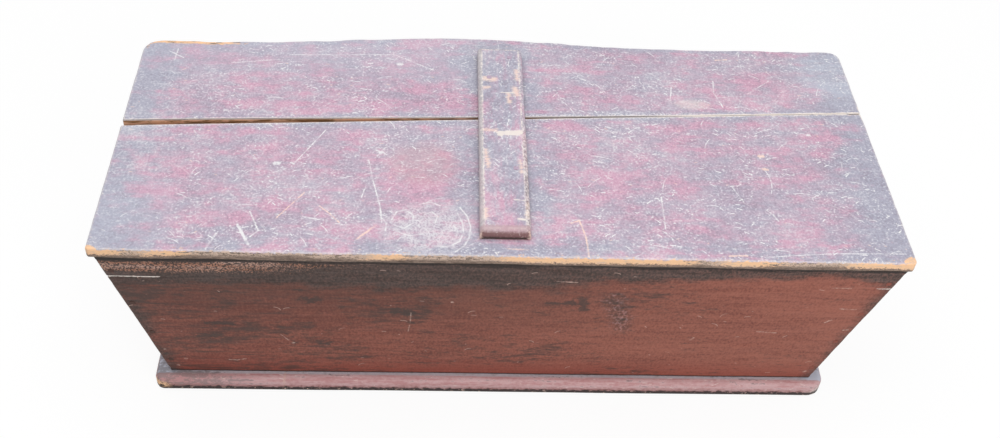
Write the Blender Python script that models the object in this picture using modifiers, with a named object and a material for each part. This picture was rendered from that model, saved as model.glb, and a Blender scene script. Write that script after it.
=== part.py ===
"""Old painted dough box: four flared boards on a round-nosed base, closed by a loose battened lid.

Metres, +Z up. +X runs along the box, the front faces -Y and the base stands on z = 0.
Every board and every nail is an object of its own. The lid lifts straight up off the walls.
"""

import math

import bmesh
import bpy
from mathutils import Matrix, Vector

# Fits between pieces
JOINT_GAP = 0.0003
NAIL_CLEARANCE = 0.0002
OVERCUT = 0.004

# Walls: outer sizes at their foot, all four leaning out by the same angle
FLOOR_LENGTH = 0.903
FLOOR_DEPTH = 0.316
WALL_HEIGHT = 0.277
WALL_THICKNESS = 0.019
FLARE = math.radians(9.9)
RABBET_DEPTH = 0.006
EDGE_EASE = 0.0012

# Base board
BASE_THICKNESS = 0.025
BASE_END_PROJECTION = 0.022
BASE_SIDE_PROJECTION = 0.0145
BASE_CORNER_RADIUS = 0.014
BASE_NOSE_RADIUS = 0.009
BASE_NOSE_STEPS = 4

# Lid outline: its back edge runs out of square and swells near the middle
LID_THICKNESS = 0.016
LID_END_OVERHANG = 0.008
LID_FRONT_OVERHANG = 0.0025
LID_BACK_OVERHANG = 0.003
LID_RUNOUT = 0.020
BULGE_DEPTH = 0.017
BULGE_CENTRE_X = -0.06
BULGE_HALF_WIDTH = 0.33
LID_FRONT_RADIUS = 0.009
LID_BACK_LEFT_RADIUS = 0.036
LID_BACK_RIGHT_RADIUS = 0.020
LID_EDGE_ROUND = 0.0025

# Seam between the two tapered lid boards
FRONT_BOARD_LEFT_WIDTH = 0.2285
FRONT_BOARD_RIGHT_WIDTH = 0.2935
SEAM_GAP_LEFT = 0.009
SEAM_GAP_RIGHT = 0.0006

# Batten on top of the lid
BATTEN_WIDTH = 0.064
BATTEN_LENGTH = 0.3735
BATTEN_THICKNESS = 0.015
BATTEN_CENTRE_X = -0.0035
BATTEN_FRONT_SETBACK = 0.029
BATTEN_EDGE_ROUND = 0.004

# Cleats under the lid, just inside the end walls
CLEAT_WIDTH = 0.060
CLEAT_THICKNESS = 0.018
CLEAT_CLEARANCE = 0.004
CLEAT_EDGE_ROUND = 0.002

# Square cut nails
NAIL_HEAD_WIDTH = 0.0062
NAIL_HEAD_THICKNESS = 0.0018
NAIL_SHANK_WIDTH = 0.0034
NAIL_TIP_WIDTH = 0.0014
NAIL_SET = 0.0005
CORNER_NAIL_LENGTH = 0.058
BASE_NAIL_LENGTH = 0.060
LID_NAIL_TIP_COVER = 0.004

# Nail patterns
CORNER_NAIL_COUNT = 4
CORNER_NAIL_MARGIN = 0.030
SIDE_BASE_NAIL_COUNT = 4
SIDE_BASE_NAIL_MARGIN = 0.110
END_BASE_NAIL_COUNT = 2
END_BASE_NAIL_MARGIN = 0.095
BATTEN_NAILS_PER_BOARD = 3
BATTEN_NAIL_STAGGER = 0.015
BATTEN_NAIL_MARGIN = 0.022
CLEAT_NAILS_PER_BOARD = 2
CLEAT_NAIL_MARGIN = 0.030

# Fineness of curved stretches, and what counts as a sharp edge or as one point
ARC_STEPS = 6
BULGE_STEPS = 20
EDGE_STEPS = 2
BAR_EDGE_STEPS = 3
SHARP_ANGLE = math.radians(50)
FLAT_ANGLE = math.radians(1)
WELD_DISTANCE = 1e-5

# Levels and places that follow from the sizes above
WALL_FOOT_Z = BASE_THICKNESS + JOINT_GAP
WALL_TOP_Z = WALL_FOOT_Z + WALL_HEIGHT
LID_Z = WALL_TOP_Z + JOINT_GAP
FLARE_RUN = WALL_HEIGHT * math.tan(FLARE)
MOUTH_LENGTH = FLOOR_LENGTH + 2 * FLARE_RUN
MOUTH_DEPTH = FLOOR_DEPTH + 2 * FLARE_RUN
LID_HALF_LENGTH = MOUTH_LENGTH / 2 + LID_END_OVERHANG
LID_LEFT_DEPTH = MOUTH_DEPTH + LID_FRONT_OVERHANG + LID_BACK_OVERHANG
LEFT, RIGHT = -1, 1
FRONT, BACK = -1, 1


def clear_scene():
    """Leave no object from the startup scene."""
    for obj in list(bpy.data.objects):
        bpy.data.objects.remove(obj, do_unlink=True)


def new_collection(name, parent):
    """A collection inside another one."""
    collection = bpy.data.collections.new(name)
    parent.children.link(collection)
    return collection


def new_empty(name, location):
    """An empty that carries one assembly."""
    empty = bpy.data.objects.new(name, None)
    empty.location = location
    PARTS.objects.link(empty)
    return empty


def new_material(name, colour, roughness, metallic=0.0):
    """A plain Principled material."""
    material = bpy.data.materials.new(name)
    material.use_nodes = True
    shader = material.node_tree.nodes["Principled BSDF"]
    shader.inputs["Base Color"].default_value = (*colour, 1.0)
    shader.inputs["Roughness"].default_value = roughness
    shader.inputs["Metallic"].default_value = metallic
    return material


def new_part(name, mesh, material, carrier):
    """A visible piece of the box, carried by an empty."""
    part = bpy.data.objects.new(name, mesh)
    part.parent = carrier
    PARTS.objects.link(part)
    if not mesh.materials:
        mesh.materials.append(material)
    return part


def new_cutter(name, mesh, carrier, group):
    """A helper that only cuts, in the group of cutters of one board."""
    cutter = bpy.data.objects.new(name, mesh)
    cutter.parent = carrier
    cutter.hide_render = True
    cutter.display_type = "WIRE"
    group.objects.link(cutter)
    return cutter


def cut(board, group):
    """Takes a group of cutters out of a board."""
    boolean = board.modifiers.new(group.name, "BOOLEAN")
    boolean.operation = "DIFFERENCE"
    boolean.solver = "EXACT"
    boolean.operand_type = "COLLECTION"
    boolean.collection = group


def ease_edges(board, radius, steps=EDGE_STEPS):
    """Rounds every sharp edge of a board."""
    bevel = board.modifiers.new("eased edges", "BEVEL")
    bevel.width = radius
    bevel.segments = steps
    bevel.limit_method = "ANGLE"
    bevel.angle_limit = SHARP_ANGLE


def spread(count, low, high):
    """Evenly spaced places from low to high, both ends included, or the middle for one."""
    if count == 1:
        return [(low + high) / 2]
    return [low + (high - low) * index / (count - 1) for index in range(count)]


def mapped_box(name, corner):
    """Mesh of a box whose eight corners stand at corner(sx, sy, sz), each sign -1 or 1."""
    shape = bmesh.new()
    bmesh.ops.create_cube(shape, size=2.0)
    for vertex in shape.verts:
        vertex.co = corner(*(round(sign) for sign in vertex.co))
    bmesh.ops.recalc_face_normals(shape, faces=shape.faces)
    mesh = bpy.data.meshes.new(name)
    shape.to_mesh(mesh)
    shape.free()
    return mesh


def rounded_bar(name, low, high, flat_z, radius):
    """Mesh of a straight bar between two corners, with every edge rounded but those of its flat side."""
    middle, half = (low + high) / 2, (high - low) / 2
    shape = bmesh.new()
    bmesh.ops.create_cube(shape, size=2.0)
    for vertex in shape.verts:
        vertex.co = middle + vertex.co * half
    worn = [edge for edge in shape.edges if any(abs(end.co.z - flat_z) > radius for end in edge.verts)]
    bmesh.ops.bevel(shape, geom=worn, offset=radius, segments=BAR_EDGE_STEPS, profile=0.5, affect="EDGES")
    mesh = bpy.data.meshes.new(name)
    shape.to_mesh(mesh)
    shape.free()
    return mesh


def rounded_outline(corners):
    """Outline points for anticlockwise (x, y, radius) corners, each an arc unless its radius is 0."""
    points = []
    for index, (x, y, radius) in enumerate(corners):
        here = Vector((x, y))
        if radius == 0:
            points.append(here)
            continue
        behind = (Vector(corners[index - 1][:2]) - here).normalized()
        ahead = (Vector(corners[(index + 1) % len(corners)][:2]) - here).normalized()
        opening = behind.angle(ahead)
        centre = here + (behind + ahead).normalized() * radius / math.sin(opening / 2)
        start = here + behind * radius / math.tan(opening / 2) - centre
        for step in range(ARC_STEPS + 1):
            points.append(centre + Matrix.Rotation((math.pi - opening) * step / ARC_STEPS, 2) @ start)
    return points


def slab(name, outline, thickness):
    """Mesh of a flat board with this outline, half its thickness above and below z = 0."""
    curve = bpy.data.curves.new(name, "CURVE")
    curve.dimensions = "2D"
    curve.fill_mode = "BOTH"
    curve.extrude = thickness / 2
    spline = curve.splines.new("POLY")
    spline.points.add(len(outline) - 1)
    for point, place in zip(spline.points, outline):
        point.co = (place.x, place.y, 0.0, 1.0)
    spline.use_cyclic_u = True
    drawn = bpy.data.objects.new(name + " outline", curve)
    PARTS.objects.link(drawn)
    graph = bpy.context.evaluated_depsgraph_get()
    mesh = bpy.data.meshes.new_from_object(drawn.evaluated_get(graph))
    bpy.data.objects.remove(drawn, do_unlink=True)
    shape = bmesh.new()
    shape.from_mesh(mesh)
    bmesh.ops.remove_doubles(shape, verts=shape.verts, dist=WELD_DISTANCE)
    bmesh.ops.dissolve_limit(shape, angle_limit=FLAT_ANGLE, verts=shape.verts, edges=shape.edges)
    bmesh.ops.recalc_face_normals(shape, faces=shape.faces)
    shape.to_mesh(mesh)
    shape.free()
    return mesh


def along_lid(x, left, right):
    """A size that changes evenly from the lid's left end to its right end."""
    return left + (right - left) * (x + LID_HALF_LENGTH) / (2 * LID_HALF_LENGTH)


def front_board_width(x):
    """Width of the front lid board at x."""
    return along_lid(x, FRONT_BOARD_LEFT_WIDTH, FRONT_BOARD_RIGHT_WIDTH)


def back_board_start(x):
    """Distance from the lid's front edge to the back board at x."""
    return front_board_width(x) + along_lid(x, SEAM_GAP_LEFT, SEAM_GAP_RIGHT)


def lid_depth(x):
    """Distance from the lid's front edge to its uneven back edge at x."""
    straight = along_lid(x, LID_LEFT_DEPTH, LID_LEFT_DEPTH + LID_RUNOUT)
    offset = min(abs(x - BULGE_CENTRE_X) / BULGE_HALF_WIDTH, 1.0)
    return straight + BULGE_DEPTH * (0.5 + 0.5 * math.cos(math.pi * offset))


def bulge_places():
    """Places of the points of the back edge's swollen stretch, left to right, clear of the corner arcs."""
    low = max(BULGE_CENTRE_X - BULGE_HALF_WIDTH, 2 * LID_BACK_LEFT_RADIUS - LID_HALF_LENGTH)
    high = min(BULGE_CENTRE_X + BULGE_HALF_WIDTH, LID_HALF_LENGTH - 2 * LID_BACK_RIGHT_RADIUS)
    return spread(BULGE_STEPS + 1, low, high)


def wall_plane(half_foot, inset, z):
    """Distance from the box's middle to the plane that lies inset inside a wall's outer face, at height z."""
    return half_foot + (z - WALL_FOOT_Z) * math.tan(FLARE) - inset / math.cos(FLARE)


def end_plane(inset, z):
    """The plane of an end wall, along X."""
    return wall_plane(FLOOR_LENGTH / 2, inset, z)


def side_plane(inset, z):
    """The plane of the front or back wall, along Y."""
    return wall_plane(FLOOR_DEPTH / 2, inset, z)


def build_base():
    """The round-nosed board that everything stands on."""
    half_length = FLOOR_LENGTH / 2 + BASE_END_PROJECTION
    half_depth = FLOOR_DEPTH / 2 + BASE_SIDE_PROJECTION
    turns = ((LEFT, FRONT), (RIGHT, FRONT), (RIGHT, BACK), (LEFT, BACK))
    outline = rounded_outline([(sx * half_length, sy * half_depth, BASE_CORNER_RADIUS) for sx, sy in turns])
    base = new_part("base_board", slab("base_board", outline, BASE_THICKNESS), BASE_PAINT, BOX)
    base.location.z = BASE_THICKNESS / 2
    ease_edges(base, BASE_NOSE_RADIUS, BASE_NOSE_STEPS)
    return base


def build_side_wall(name, side):
    """The front or back wall: it runs the full length and is rabbeted for the end walls."""

    def corner(sx, sy, sz):
        z = WALL_TOP_Z if sz > 0 else WALL_FOOT_Z
        inset = 0.0 if sy == side else WALL_THICKNESS
        return Vector((sx * end_plane(0.0, z), side * side_plane(inset, z), z))

    def rabbet_corner(sx, sy, sz):
        z = WALL_TOP_Z + OVERCUT if sz > 0 else WALL_FOOT_Z - OVERCUT
        inset = WALL_THICKNESS - RABBET_DEPTH if sy == side else WALL_THICKNESS + OVERCUT
        along = -OVERCUT if sx > 0 else WALL_THICKNESS + JOINT_GAP
        return Vector((end_plane(along, z), side * side_plane(inset, z), z))

    wall = new_part(name, mapped_box(name, corner), WALL_PAINT, BOX)
    ease_edges(wall, EDGE_EASE)
    group = new_collection(name + " rabbets", CUTTERS)
    for end in (LEFT, RIGHT):
        mirror = Vector((end, 1, 1))
        mesh = mapped_box(name + " rabbet", lambda *signs: rabbet_corner(*signs) * mirror)
        new_cutter(name + " rabbet", mesh, BOX, group)
    cut(wall, group)
    return wall


def build_end_wall(name, end):
    """The left or right wall: it stands between the front and back walls, let into their rabbets."""

    def corner(sx, sy, sz):
        z = WALL_TOP_Z if sz > 0 else WALL_FOOT_Z
        inset = 0.0 if sx == end else WALL_THICKNESS
        reach = side_plane(WALL_THICKNESS - RABBET_DEPTH + JOINT_GAP, z)
        return Vector((end * end_plane(inset, z), sy * reach, z))

    wall = new_part(name, mapped_box(name, corner), WALL_PAINT, BOX)
    ease_edges(wall, EDGE_EASE)
    return wall


def build_lid_board(name, outline):
    """One of the two flat boards of the lid."""
    board = new_part(name, slab(name, outline, LID_THICKNESS), LID_PAINT, LID)
    board.location.z = LID_THICKNESS / 2
    ease_edges(board, LID_EDGE_ROUND)
    return board


def build_lid_boards():
    """The front and back lid boards, tapered towards opposite ends."""
    left, right = -LID_HALF_LENGTH, LID_HALF_LENGTH
    front_outline = [
        (left, 0.0, LID_FRONT_RADIUS),
        (right, 0.0, LID_FRONT_RADIUS),
        (right, front_board_width(right), 0.0),
        (left, front_board_width(left), 0.0),
    ]
    swell = [(x, lid_depth(x), 0.0) for x in reversed(bulge_places())]
    back_outline = [
        (left, back_board_start(left), 0.0),
        (right, back_board_start(right), 0.0),
        (right, lid_depth(right), LID_BACK_RIGHT_RADIUS),
        *swell,
        (left, lid_depth(left), LID_BACK_LEFT_RADIUS),
    ]
    front_board = build_lid_board("lid_front_board", rounded_outline(front_outline))
    back_board = build_lid_board("lid_back_board", rounded_outline(back_outline))
    return front_board, back_board


def build_batten():
    """The bar across the top of the lid."""
    low = Vector((BATTEN_CENTRE_X - BATTEN_WIDTH / 2, BATTEN_FRONT_SETBACK, BATTEN_Z))
    high = low + Vector((BATTEN_WIDTH, BATTEN_LENGTH, BATTEN_THICKNESS))
    mesh = rounded_bar("top_batten", low, high, BATTEN_Z, BATTEN_EDGE_ROUND)
    return new_part("top_batten", mesh, LID_PAINT, LID)


def build_cleat(name, end):
    """A bar under one end of the lid, which drops inside the mouth."""
    near, far = sorted((end * CLEAT_OUTER_X, end * (CLEAT_OUTER_X - CLEAT_WIDTH)))
    low = Vector((near, CLEAT_FRONT_Y, -JOINT_GAP - CLEAT_THICKNESS))
    high = Vector((far, CLEAT_BACK_Y, -JOINT_GAP))
    mesh = rounded_bar(name, low, high, high.z, CLEAT_EDGE_ROUND)
    return new_part(name, mesh, BARE_WOOD, LID)


def nail_mesh(name, length, top, grow):
    """Profile of a square nail on one corner of its shank, from the middle of its top down to its tip."""
    under_head = -NAIL_SET - NAIL_HEAD_THICKNESS - grow
    tip = -length - grow
    head = NAIL_HEAD_WIDTH / 2 + grow
    shank = NAIL_SHANK_WIDTH / 2 + grow
    point = NAIL_TIP_WIDTH / 2 + grow
    half_profile = ((0, top), (head, top), (head, under_head), (shank, under_head), (point, tip), (0, tip))
    mesh = bpy.data.meshes.new(name)
    rows = range(len(half_profile) - 1)
    mesh.from_pydata([(out, out, z) for out, z in half_profile], [(row, row + 1) for row in rows], [])
    return mesh


def turn_square(obj):
    """Turns a nail's profile into its square solid."""
    screw = obj.modifiers.new("square section", "SCREW")
    screw.steps = screw.render_steps = 4
    screw.use_merge_vertices = True
    screw.merge_threshold = WELD_DISTANCE
    screw.use_smooth_shade = False


def drive_nail(name, place, outward, length, boards, carrier):
    """A nail with its head at place, pointing against outward, and its hole in each board that it joins."""
    turn = outward.to_track_quat("Z", "Y").to_euler()
    nail = new_part(name, nail_mesh(name, length, -NAIL_SET, 0.0), NAIL_IRON, carrier)
    hole_name = name + " hole"
    hole_mesh = nail_mesh(hole_name, length, OVERCUT, NAIL_CLEARANCE)
    hole = new_cutter(hole_name, hole_mesh, carrier, HOLES[boards[0].name])
    HOLES[boards[1].name].objects.link(hole)
    for obj in (nail, hole):
        obj.location = place
        obj.rotation_euler = turn
        turn_square(obj)


def nail_corners(side_walls, end_walls):
    """Nails through the front and back walls into the edges of the end walls."""
    heights = spread(CORNER_NAIL_COUNT, WALL_FOOT_Z + CORNER_NAIL_MARGIN, WALL_TOP_Z - CORNER_NAIL_MARGIN)
    for side, side_name in ((FRONT, "front"), (BACK, "back")):
        outward = Vector((0.0, side * math.cos(FLARE), -math.sin(FLARE)))
        for end, end_name in ((LEFT, "left"), (RIGHT, "right")):
            for number, z in enumerate(heights, 1):
                place = Vector((end * end_plane(WALL_THICKNESS / 2, z), side * side_plane(0.0, z), z))
                name = f"{side_name}_{end_name}_corner_nail_{number}"
                drive_nail(name, place, outward, CORNER_NAIL_LENGTH, (side_walls[side], end_walls[end]), BOX)


def nail_base(base, side_walls, end_walls):
    """Nails up through the base, along the lean of each wall, into the walls' feet."""
    half_length = FLOOR_LENGTH / 2 - SIDE_BASE_NAIL_MARGIN
    for side, side_name in ((FRONT, "front"), (BACK, "back")):
        outward = Vector((0.0, -side * math.sin(FLARE), -math.cos(FLARE)))
        y = side * side_plane(WALL_THICKNESS / 2, 0.0)
        for number, x in enumerate(spread(SIDE_BASE_NAIL_COUNT, -half_length, half_length), 1):
            name = f"{side_name}_base_nail_{number}"
            drive_nail(name, Vector((x, y, 0.0)), outward, BASE_NAIL_LENGTH, (base, side_walls[side]), BOX)
    half_depth = FLOOR_DEPTH / 2 - END_BASE_NAIL_MARGIN
    for end, end_name in ((LEFT, "left"), (RIGHT, "right")):
        outward = Vector((-end * math.sin(FLARE), 0.0, -math.cos(FLARE)))
        x = end * end_plane(WALL_THICKNESS / 2, 0.0)
        for number, y in enumerate(spread(END_BASE_NAIL_COUNT, -half_depth, half_depth), 1):
            name = f"{end_name}_base_nail_{number}"
            drive_nail(name, Vector((x, y, 0.0)), outward, BASE_NAIL_LENGTH, (base, end_walls[end]), BOX)


def nail_places(x, count, margin, front, back):
    """Places across the lid, in each of its boards, of nails between two ends of a bar at x."""
    in_front = spread(count, front + margin, front_board_width(x) - margin)
    in_back = spread(count, back_board_start(x) + margin, back - margin)
    return in_front, in_back


def nail_batten(batten, lid_boards):
    """Nails down through the batten into both lid boards, stepping from side to side."""
    top = BATTEN_Z + BATTEN_THICKNESS
    length = BATTEN_THICKNESS + JOINT_GAP + LID_THICKNESS - LID_NAIL_TIP_COVER
    back = BATTEN_FRONT_SETBACK + BATTEN_LENGTH
    rows = nail_places(
        BATTEN_CENTRE_X, BATTEN_NAILS_PER_BOARD, BATTEN_NAIL_MARGIN, BATTEN_FRONT_SETBACK, back
    )
    number = 0
    for board, row in zip(lid_boards, rows):
        for y in row:
            number += 1
            x = BATTEN_CENTRE_X + BATTEN_NAIL_STAGGER * (-1) ** number
            name = f"batten_nail_{number}"
            drive_nail(name, Vector((x, y, top)), Vector((0, 0, 1)), length, (batten, board), LID)


def nail_cleat(cleat, end, lid_boards):
    """Nails up through a cleat into both lid boards."""
    x = end * (CLEAT_OUTER_X - CLEAT_WIDTH / 2)
    under = -JOINT_GAP - CLEAT_THICKNESS
    length = CLEAT_THICKNESS + JOINT_GAP + LID_THICKNESS - LID_NAIL_TIP_COVER
    rows = nail_places(x, CLEAT_NAILS_PER_BOARD, CLEAT_NAIL_MARGIN, CLEAT_FRONT_Y, CLEAT_BACK_Y)
    number = 0
    for board, row in zip(lid_boards, rows):
        for y in row:
            number += 1
            name = f"{cleat.name}_nail_{number}"
            drive_nail(name, Vector((x, y, under)), Vector((0, 0, -1)), length, (cleat, board), LID)


def build_box():
    """Boards first, then their nails, then the nail holes in the boards."""
    base = build_base()
    side_walls = {FRONT: build_side_wall("front_wall", FRONT), BACK: build_side_wall("back_wall", BACK)}
    end_walls = {LEFT: build_end_wall("left_end_wall", LEFT), RIGHT: build_end_wall("right_end_wall", RIGHT)}
    lid_boards = build_lid_boards()
    batten = build_batten()
    cleats = {LEFT: build_cleat("left_cleat", LEFT), RIGHT: build_cleat("right_cleat", RIGHT)}
    boards = [base, *side_walls.values(), *end_walls.values(), *lid_boards, batten, *cleats.values()]
    for board in boards:
        HOLES[board.name] = new_collection(board.name + " nail holes", CUTTERS)
    nail_corners(side_walls, end_walls)
    nail_base(base, side_walls, end_walls)
    nail_batten(batten, lid_boards)
    for end, cleat in cleats.items():
        nail_cleat(cleat, end, lid_boards)
    for board in boards:
        cut(board, HOLES[board.name])


# The lid's frame: y from its front edge, z from the underside of its boards
LID_FRONT_Y = -max(lid_depth(x) for x in bulge_places()) / 2
BOX_CENTRE_Y = LID_FRONT_Y + LID_FRONT_OVERHANG + MOUTH_DEPTH / 2
BATTEN_Z = LID_THICKNESS + JOINT_GAP
CLEAT_LOW_Z = LID_Z - JOINT_GAP - CLEAT_THICKNESS
CLEAT_OUTER_X = end_plane(WALL_THICKNESS, CLEAT_LOW_Z) - CLEAT_CLEARANCE
CLEAT_HALF_LENGTH = side_plane(WALL_THICKNESS, CLEAT_LOW_Z) - CLEAT_CLEARANCE
CLEAT_FRONT_Y = BOX_CENTRE_Y - LID_FRONT_Y - CLEAT_HALF_LENGTH
CLEAT_BACK_Y = BOX_CENTRE_Y - LID_FRONT_Y + CLEAT_HALF_LENGTH

clear_scene()
PARTS = new_collection("dough_box", bpy.context.scene.collection)
CUTTERS = new_collection("dough_box_cutters", bpy.context.scene.collection)
HOLES = {}
WALL_PAINT = new_material("red_brown_paint", (0.19, 0.08, 0.065), 0.55)
BASE_PAINT = new_material("dusky_pink_paint", (0.42, 0.27, 0.27), 0.55)
LID_PAINT = new_material("worn_lilac_paint", (0.58, 0.48, 0.56), 0.6)
BARE_WOOD = new_material("bare_pine", (0.45, 0.28, 0.15), 0.75)
NAIL_IRON = new_material("nail_iron", (0.10, 0.085, 0.08), 0.7, 0.6)
BOX = new_empty("box", (0.0, BOX_CENTRE_Y, 0.0))
LID = new_empty("lid", (0.0, LID_FRONT_Y, LID_Z))
build_box()
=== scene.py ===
"""Looks of an old painted dough box: worn boards, faded paint partly lightened with painted sky sheen, and
rusty nails, in a plain studio.
"""

import logging
import math
from dataclasses import dataclass, field
from enum import Enum
from typing import Optional, Sequence, Union

import bpy
import numpy as np
from mathutils import Matrix, Vector


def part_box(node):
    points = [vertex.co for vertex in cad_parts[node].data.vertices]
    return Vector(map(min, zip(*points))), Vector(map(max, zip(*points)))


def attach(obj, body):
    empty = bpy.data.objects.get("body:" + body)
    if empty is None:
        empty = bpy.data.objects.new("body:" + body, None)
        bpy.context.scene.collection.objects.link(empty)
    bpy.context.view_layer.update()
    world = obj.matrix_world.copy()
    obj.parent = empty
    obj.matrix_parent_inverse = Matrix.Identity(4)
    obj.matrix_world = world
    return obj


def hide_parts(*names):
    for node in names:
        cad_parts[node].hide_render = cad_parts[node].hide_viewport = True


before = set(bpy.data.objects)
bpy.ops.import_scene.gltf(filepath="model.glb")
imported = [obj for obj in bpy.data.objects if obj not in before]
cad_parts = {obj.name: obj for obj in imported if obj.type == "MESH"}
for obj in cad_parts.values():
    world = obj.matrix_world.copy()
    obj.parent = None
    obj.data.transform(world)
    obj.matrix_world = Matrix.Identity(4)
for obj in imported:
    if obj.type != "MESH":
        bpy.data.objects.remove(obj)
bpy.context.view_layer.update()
LOG = logging.getLogger("dough_box")

Triple = tuple[float, float, float]
Colour = Triple
Place = tuple[float, float]
Value = Union["Wire", float, Sequence[float]]

# Driving sizes of the box that the frame's boxes alone don't tell, in metres
WALL_THICKNESS = 0.019
WALL_FLARE = math.radians(9.9)
FLARE_TAN = math.tan(WALL_FLARE)
FLARE_COS = math.cos(WALL_FLARE)
RABBET_DEPTH = 0.006
FIT_GAP = 0.0003
RABBET_REACH = WALL_THICKNESS / FLARE_COS + FIT_GAP

# How near to a face a point of a board lies on it, and how deep a nail's head is looked for
ON_FACE = 1e-6
HEAD_DEPTH = 1e-4
MILLIMETRE = 0.001
UP = Vector((0.0, 0.0, 1.0))

# Names of what each mesh tells its finish
GRAIN = "grain"
WEAR = "wear"
BAKE_MAP = "OFBake"

# Paint and wood, as linear colours
WHITE: Colour = (1.0, 1.0, 1.0)
LILAC: Colour = (0.526, 0.410, 0.515)
PINK: Colour = (0.655, 0.382, 0.510)
ROSE: Colour = (0.600, 0.330, 0.370)
BLUE_GREY: Colour = (0.423, 0.423, 0.521)
SLATE: Colour = (0.27, 0.22, 0.28)
CHALK: Colour = (0.92, 0.91, 0.92)
CREAM: Colour = (0.92, 0.84, 0.78)
PEACH: Colour = (1.0, 0.76, 0.65)
FRESH_WOOD: Colour = (1.0, 0.63, 0.375)
TAN_WOOD: Colour = (0.707, 0.529, 0.425)
GRIMY_WOOD: Colour = (0.224, 0.168, 0.134)
OXIDE_RED: Colour = (0.170, 0.048, 0.034)
WARM_RED: Colour = (0.375, 0.131, 0.091)
BRIGHT_RED: Colour = (0.304, 0.075, 0.054)
MURK: Colour = (0.092, 0.046, 0.035)
# Near-black brown: soot on the walls and base, and painted shade at the batten's foot
SOOT_AND_SHADE: Colour = (0.051, 0.038, 0.033)
RUSSET_FLECK: Colour = (0.48, 0.23, 0.15)
PALE_SCRATCH: Colour = (0.66, 0.46, 0.39)
DUSKY_PINK: Colour = (0.522, 0.270, 0.270)
MAUVE: Colour = (0.679, 0.461, 0.470)
DUST_GREY: Colour = (0.605, 0.560, 0.616)
HONEY_PINE: Colour = (0.60, 0.40, 0.235)
DARK_PINE: Colour = (0.32, 0.175, 0.085)
IRON_BLACK: Colour = (0.055, 0.045, 0.04)
RUST: Colour = (0.19, 0.075, 0.035)
SEAM_ORANGE: Colour = (0.869, 0.526, 0.354)
BATTEN_NOSE: Colour = (0.546, 0.376, 0.398)
BATTEN_FACE: Colour = (0.195, 0.092, 0.088)
BEVEL_GREY: Colour = (0.640, 0.600, 0.590)
UMBER: Colour = (0.085, 0.056, 0.044)
CHAR: Colour = (0.125, 0.097, 0.090)
NIGHT: Colour = (0.020, 0.016, 0.015)
PALE_BLUE: Colour = (0.56, 0.60, 0.70)
NAIL_SOOT: Colour = (0.095, 0.052, 0.042)
NAIL_RED: Colour = (0.290, 0.098, 0.072)


class Body(Enum):
    """The bodies that the pieces ride on."""

    BOX = "box"
    LID = "lid"


class Slot(Enum):
    """The names of the record's material slots, one kept with each board."""

    WALL = "wall_paint"
    BASE = "base_paint"
    LID = "lid_paint"
    WOOD = "bare_wood"


class Facing(Enum):
    """The four walls, by the way that each one faces."""

    FRONT = (0.0, -1.0)
    BACK = (0.0, 1.0)
    LEFT = (-1.0, 0.0)
    RIGHT = (1.0, 0.0)

    @property
    def outward(self) -> np.ndarray:
        """The level direction out of the box."""
        return np.array((*self.value, 0.0))

    @property
    def along(self) -> np.ndarray:
        """The level direction along the wall, to the right as seen from outside."""
        return np.cross(UP, self.outward)

    @property
    def is_side(self) -> bool:
        """True for the front and back walls, which take the end walls in rabbets."""
        return self in (Facing.FRONT, Facing.BACK)

    @property
    def node(self) -> str:
        """The wall's node."""
        return self.name.lower() + ("_wall" if self.is_side else "_end_wall")


class LidRow(Enum):
    """The two boards of the lid."""

    FRONT = "lid_front_board"
    BACK = "lid_back_board"


class Wire:
    """An output of a finish's nodes, on which sums are written as Python expressions."""

    def __init__(self, graph: "Graph", socket: bpy.types.NodeSocket) -> None:
        """Hold one output socket of a graph."""
        self.graph = graph
        self.socket = socket

    @property
    def is_vector(self) -> bool:
        """True where the output holds three numbers that aren't a colour."""
        return self.socket.type == "VECTOR"

    def part(self, axis: str) -> "Wire":
        """One of the three numbers of a vector or colour.

        Args:
            axis: X, Y or Z.

        Returns:
            That number.
        """
        if self.socket.type == "RGBA":
            return self.graph.node("ShaderNodeSeparateColor", {}, {0: self}, "XYZ".index(axis))
        return self.graph.node("ShaderNodeSeparateXYZ", {}, {0: self}, axis)

    def beside(self, output: str) -> "Wire":
        """Another output of the same node."""
        return Wire(self.graph, self.socket.node.outputs[output])

    def step_of(self, operation: str, *values: Value) -> "Wire":
        """Add one step of a sum.

        Args:
            operation: the operation's name in Math and in Vector Math.
            values: its operands, in order.

        Returns:
            The result, a vector where any operand is one.
        """
        spread = any(isinstance(v, tuple) or (isinstance(v, Wire) and v.is_vector) for v in values)
        kind = "ShaderNodeVectorMath" if spread else "ShaderNodeMath"
        return self.graph.node(kind, {"operation": operation}, dict(enumerate(values)))

    def __add__(self, other: Value) -> "Wire":
        """This plus another."""
        return self.step_of("ADD", self, other)

    def __radd__(self, other: Value) -> "Wire":
        """Another plus this."""
        return self.step_of("ADD", other, self)

    def __sub__(self, other: Value) -> "Wire":
        """This less another."""
        return self.step_of("SUBTRACT", self, other)

    def __rsub__(self, other: Value) -> "Wire":
        """Another less this."""
        return self.step_of("SUBTRACT", other, self)

    def __mul__(self, other: Value) -> "Wire":
        """This times another."""
        return self.step_of("MULTIPLY", self, other)

    def __rmul__(self, other: Value) -> "Wire":
        """Another times this."""
        return self.step_of("MULTIPLY", other, self)

    def __abs__(self) -> "Wire":
        """This without its sign."""
        return self.step_of("ABSOLUTE", self)

    def most(self, other: Value) -> "Wire":
        """The larger of this and another."""
        return self.step_of("MAXIMUM", self, other)

    def least(self, other: Value) -> "Wire":
        """The smaller of this and another."""
        return self.step_of("MINIMUM", self, other)

    def within(self) -> "Wire":
        """This, held between 0 and 1."""
        return self.graph.node("ShaderNodeClamp", {}, {"Value": self})

    def rise(self, low: float, high: float) -> "Wire":
        """A smooth step.

        Args:
            low: where it is 0.
            high: where it is 1, which may lie below.

        Returns:
            The step's height.
        """
        if high < low:
            return 1.0 - self.rise(high, low)
        limits = {"Value": self, "From Min": low, "From Max": high}
        return self.graph.node("ShaderNodeMapRange", {"interpolation_type": "SMOOTHSTEP"}, limits)


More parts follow.
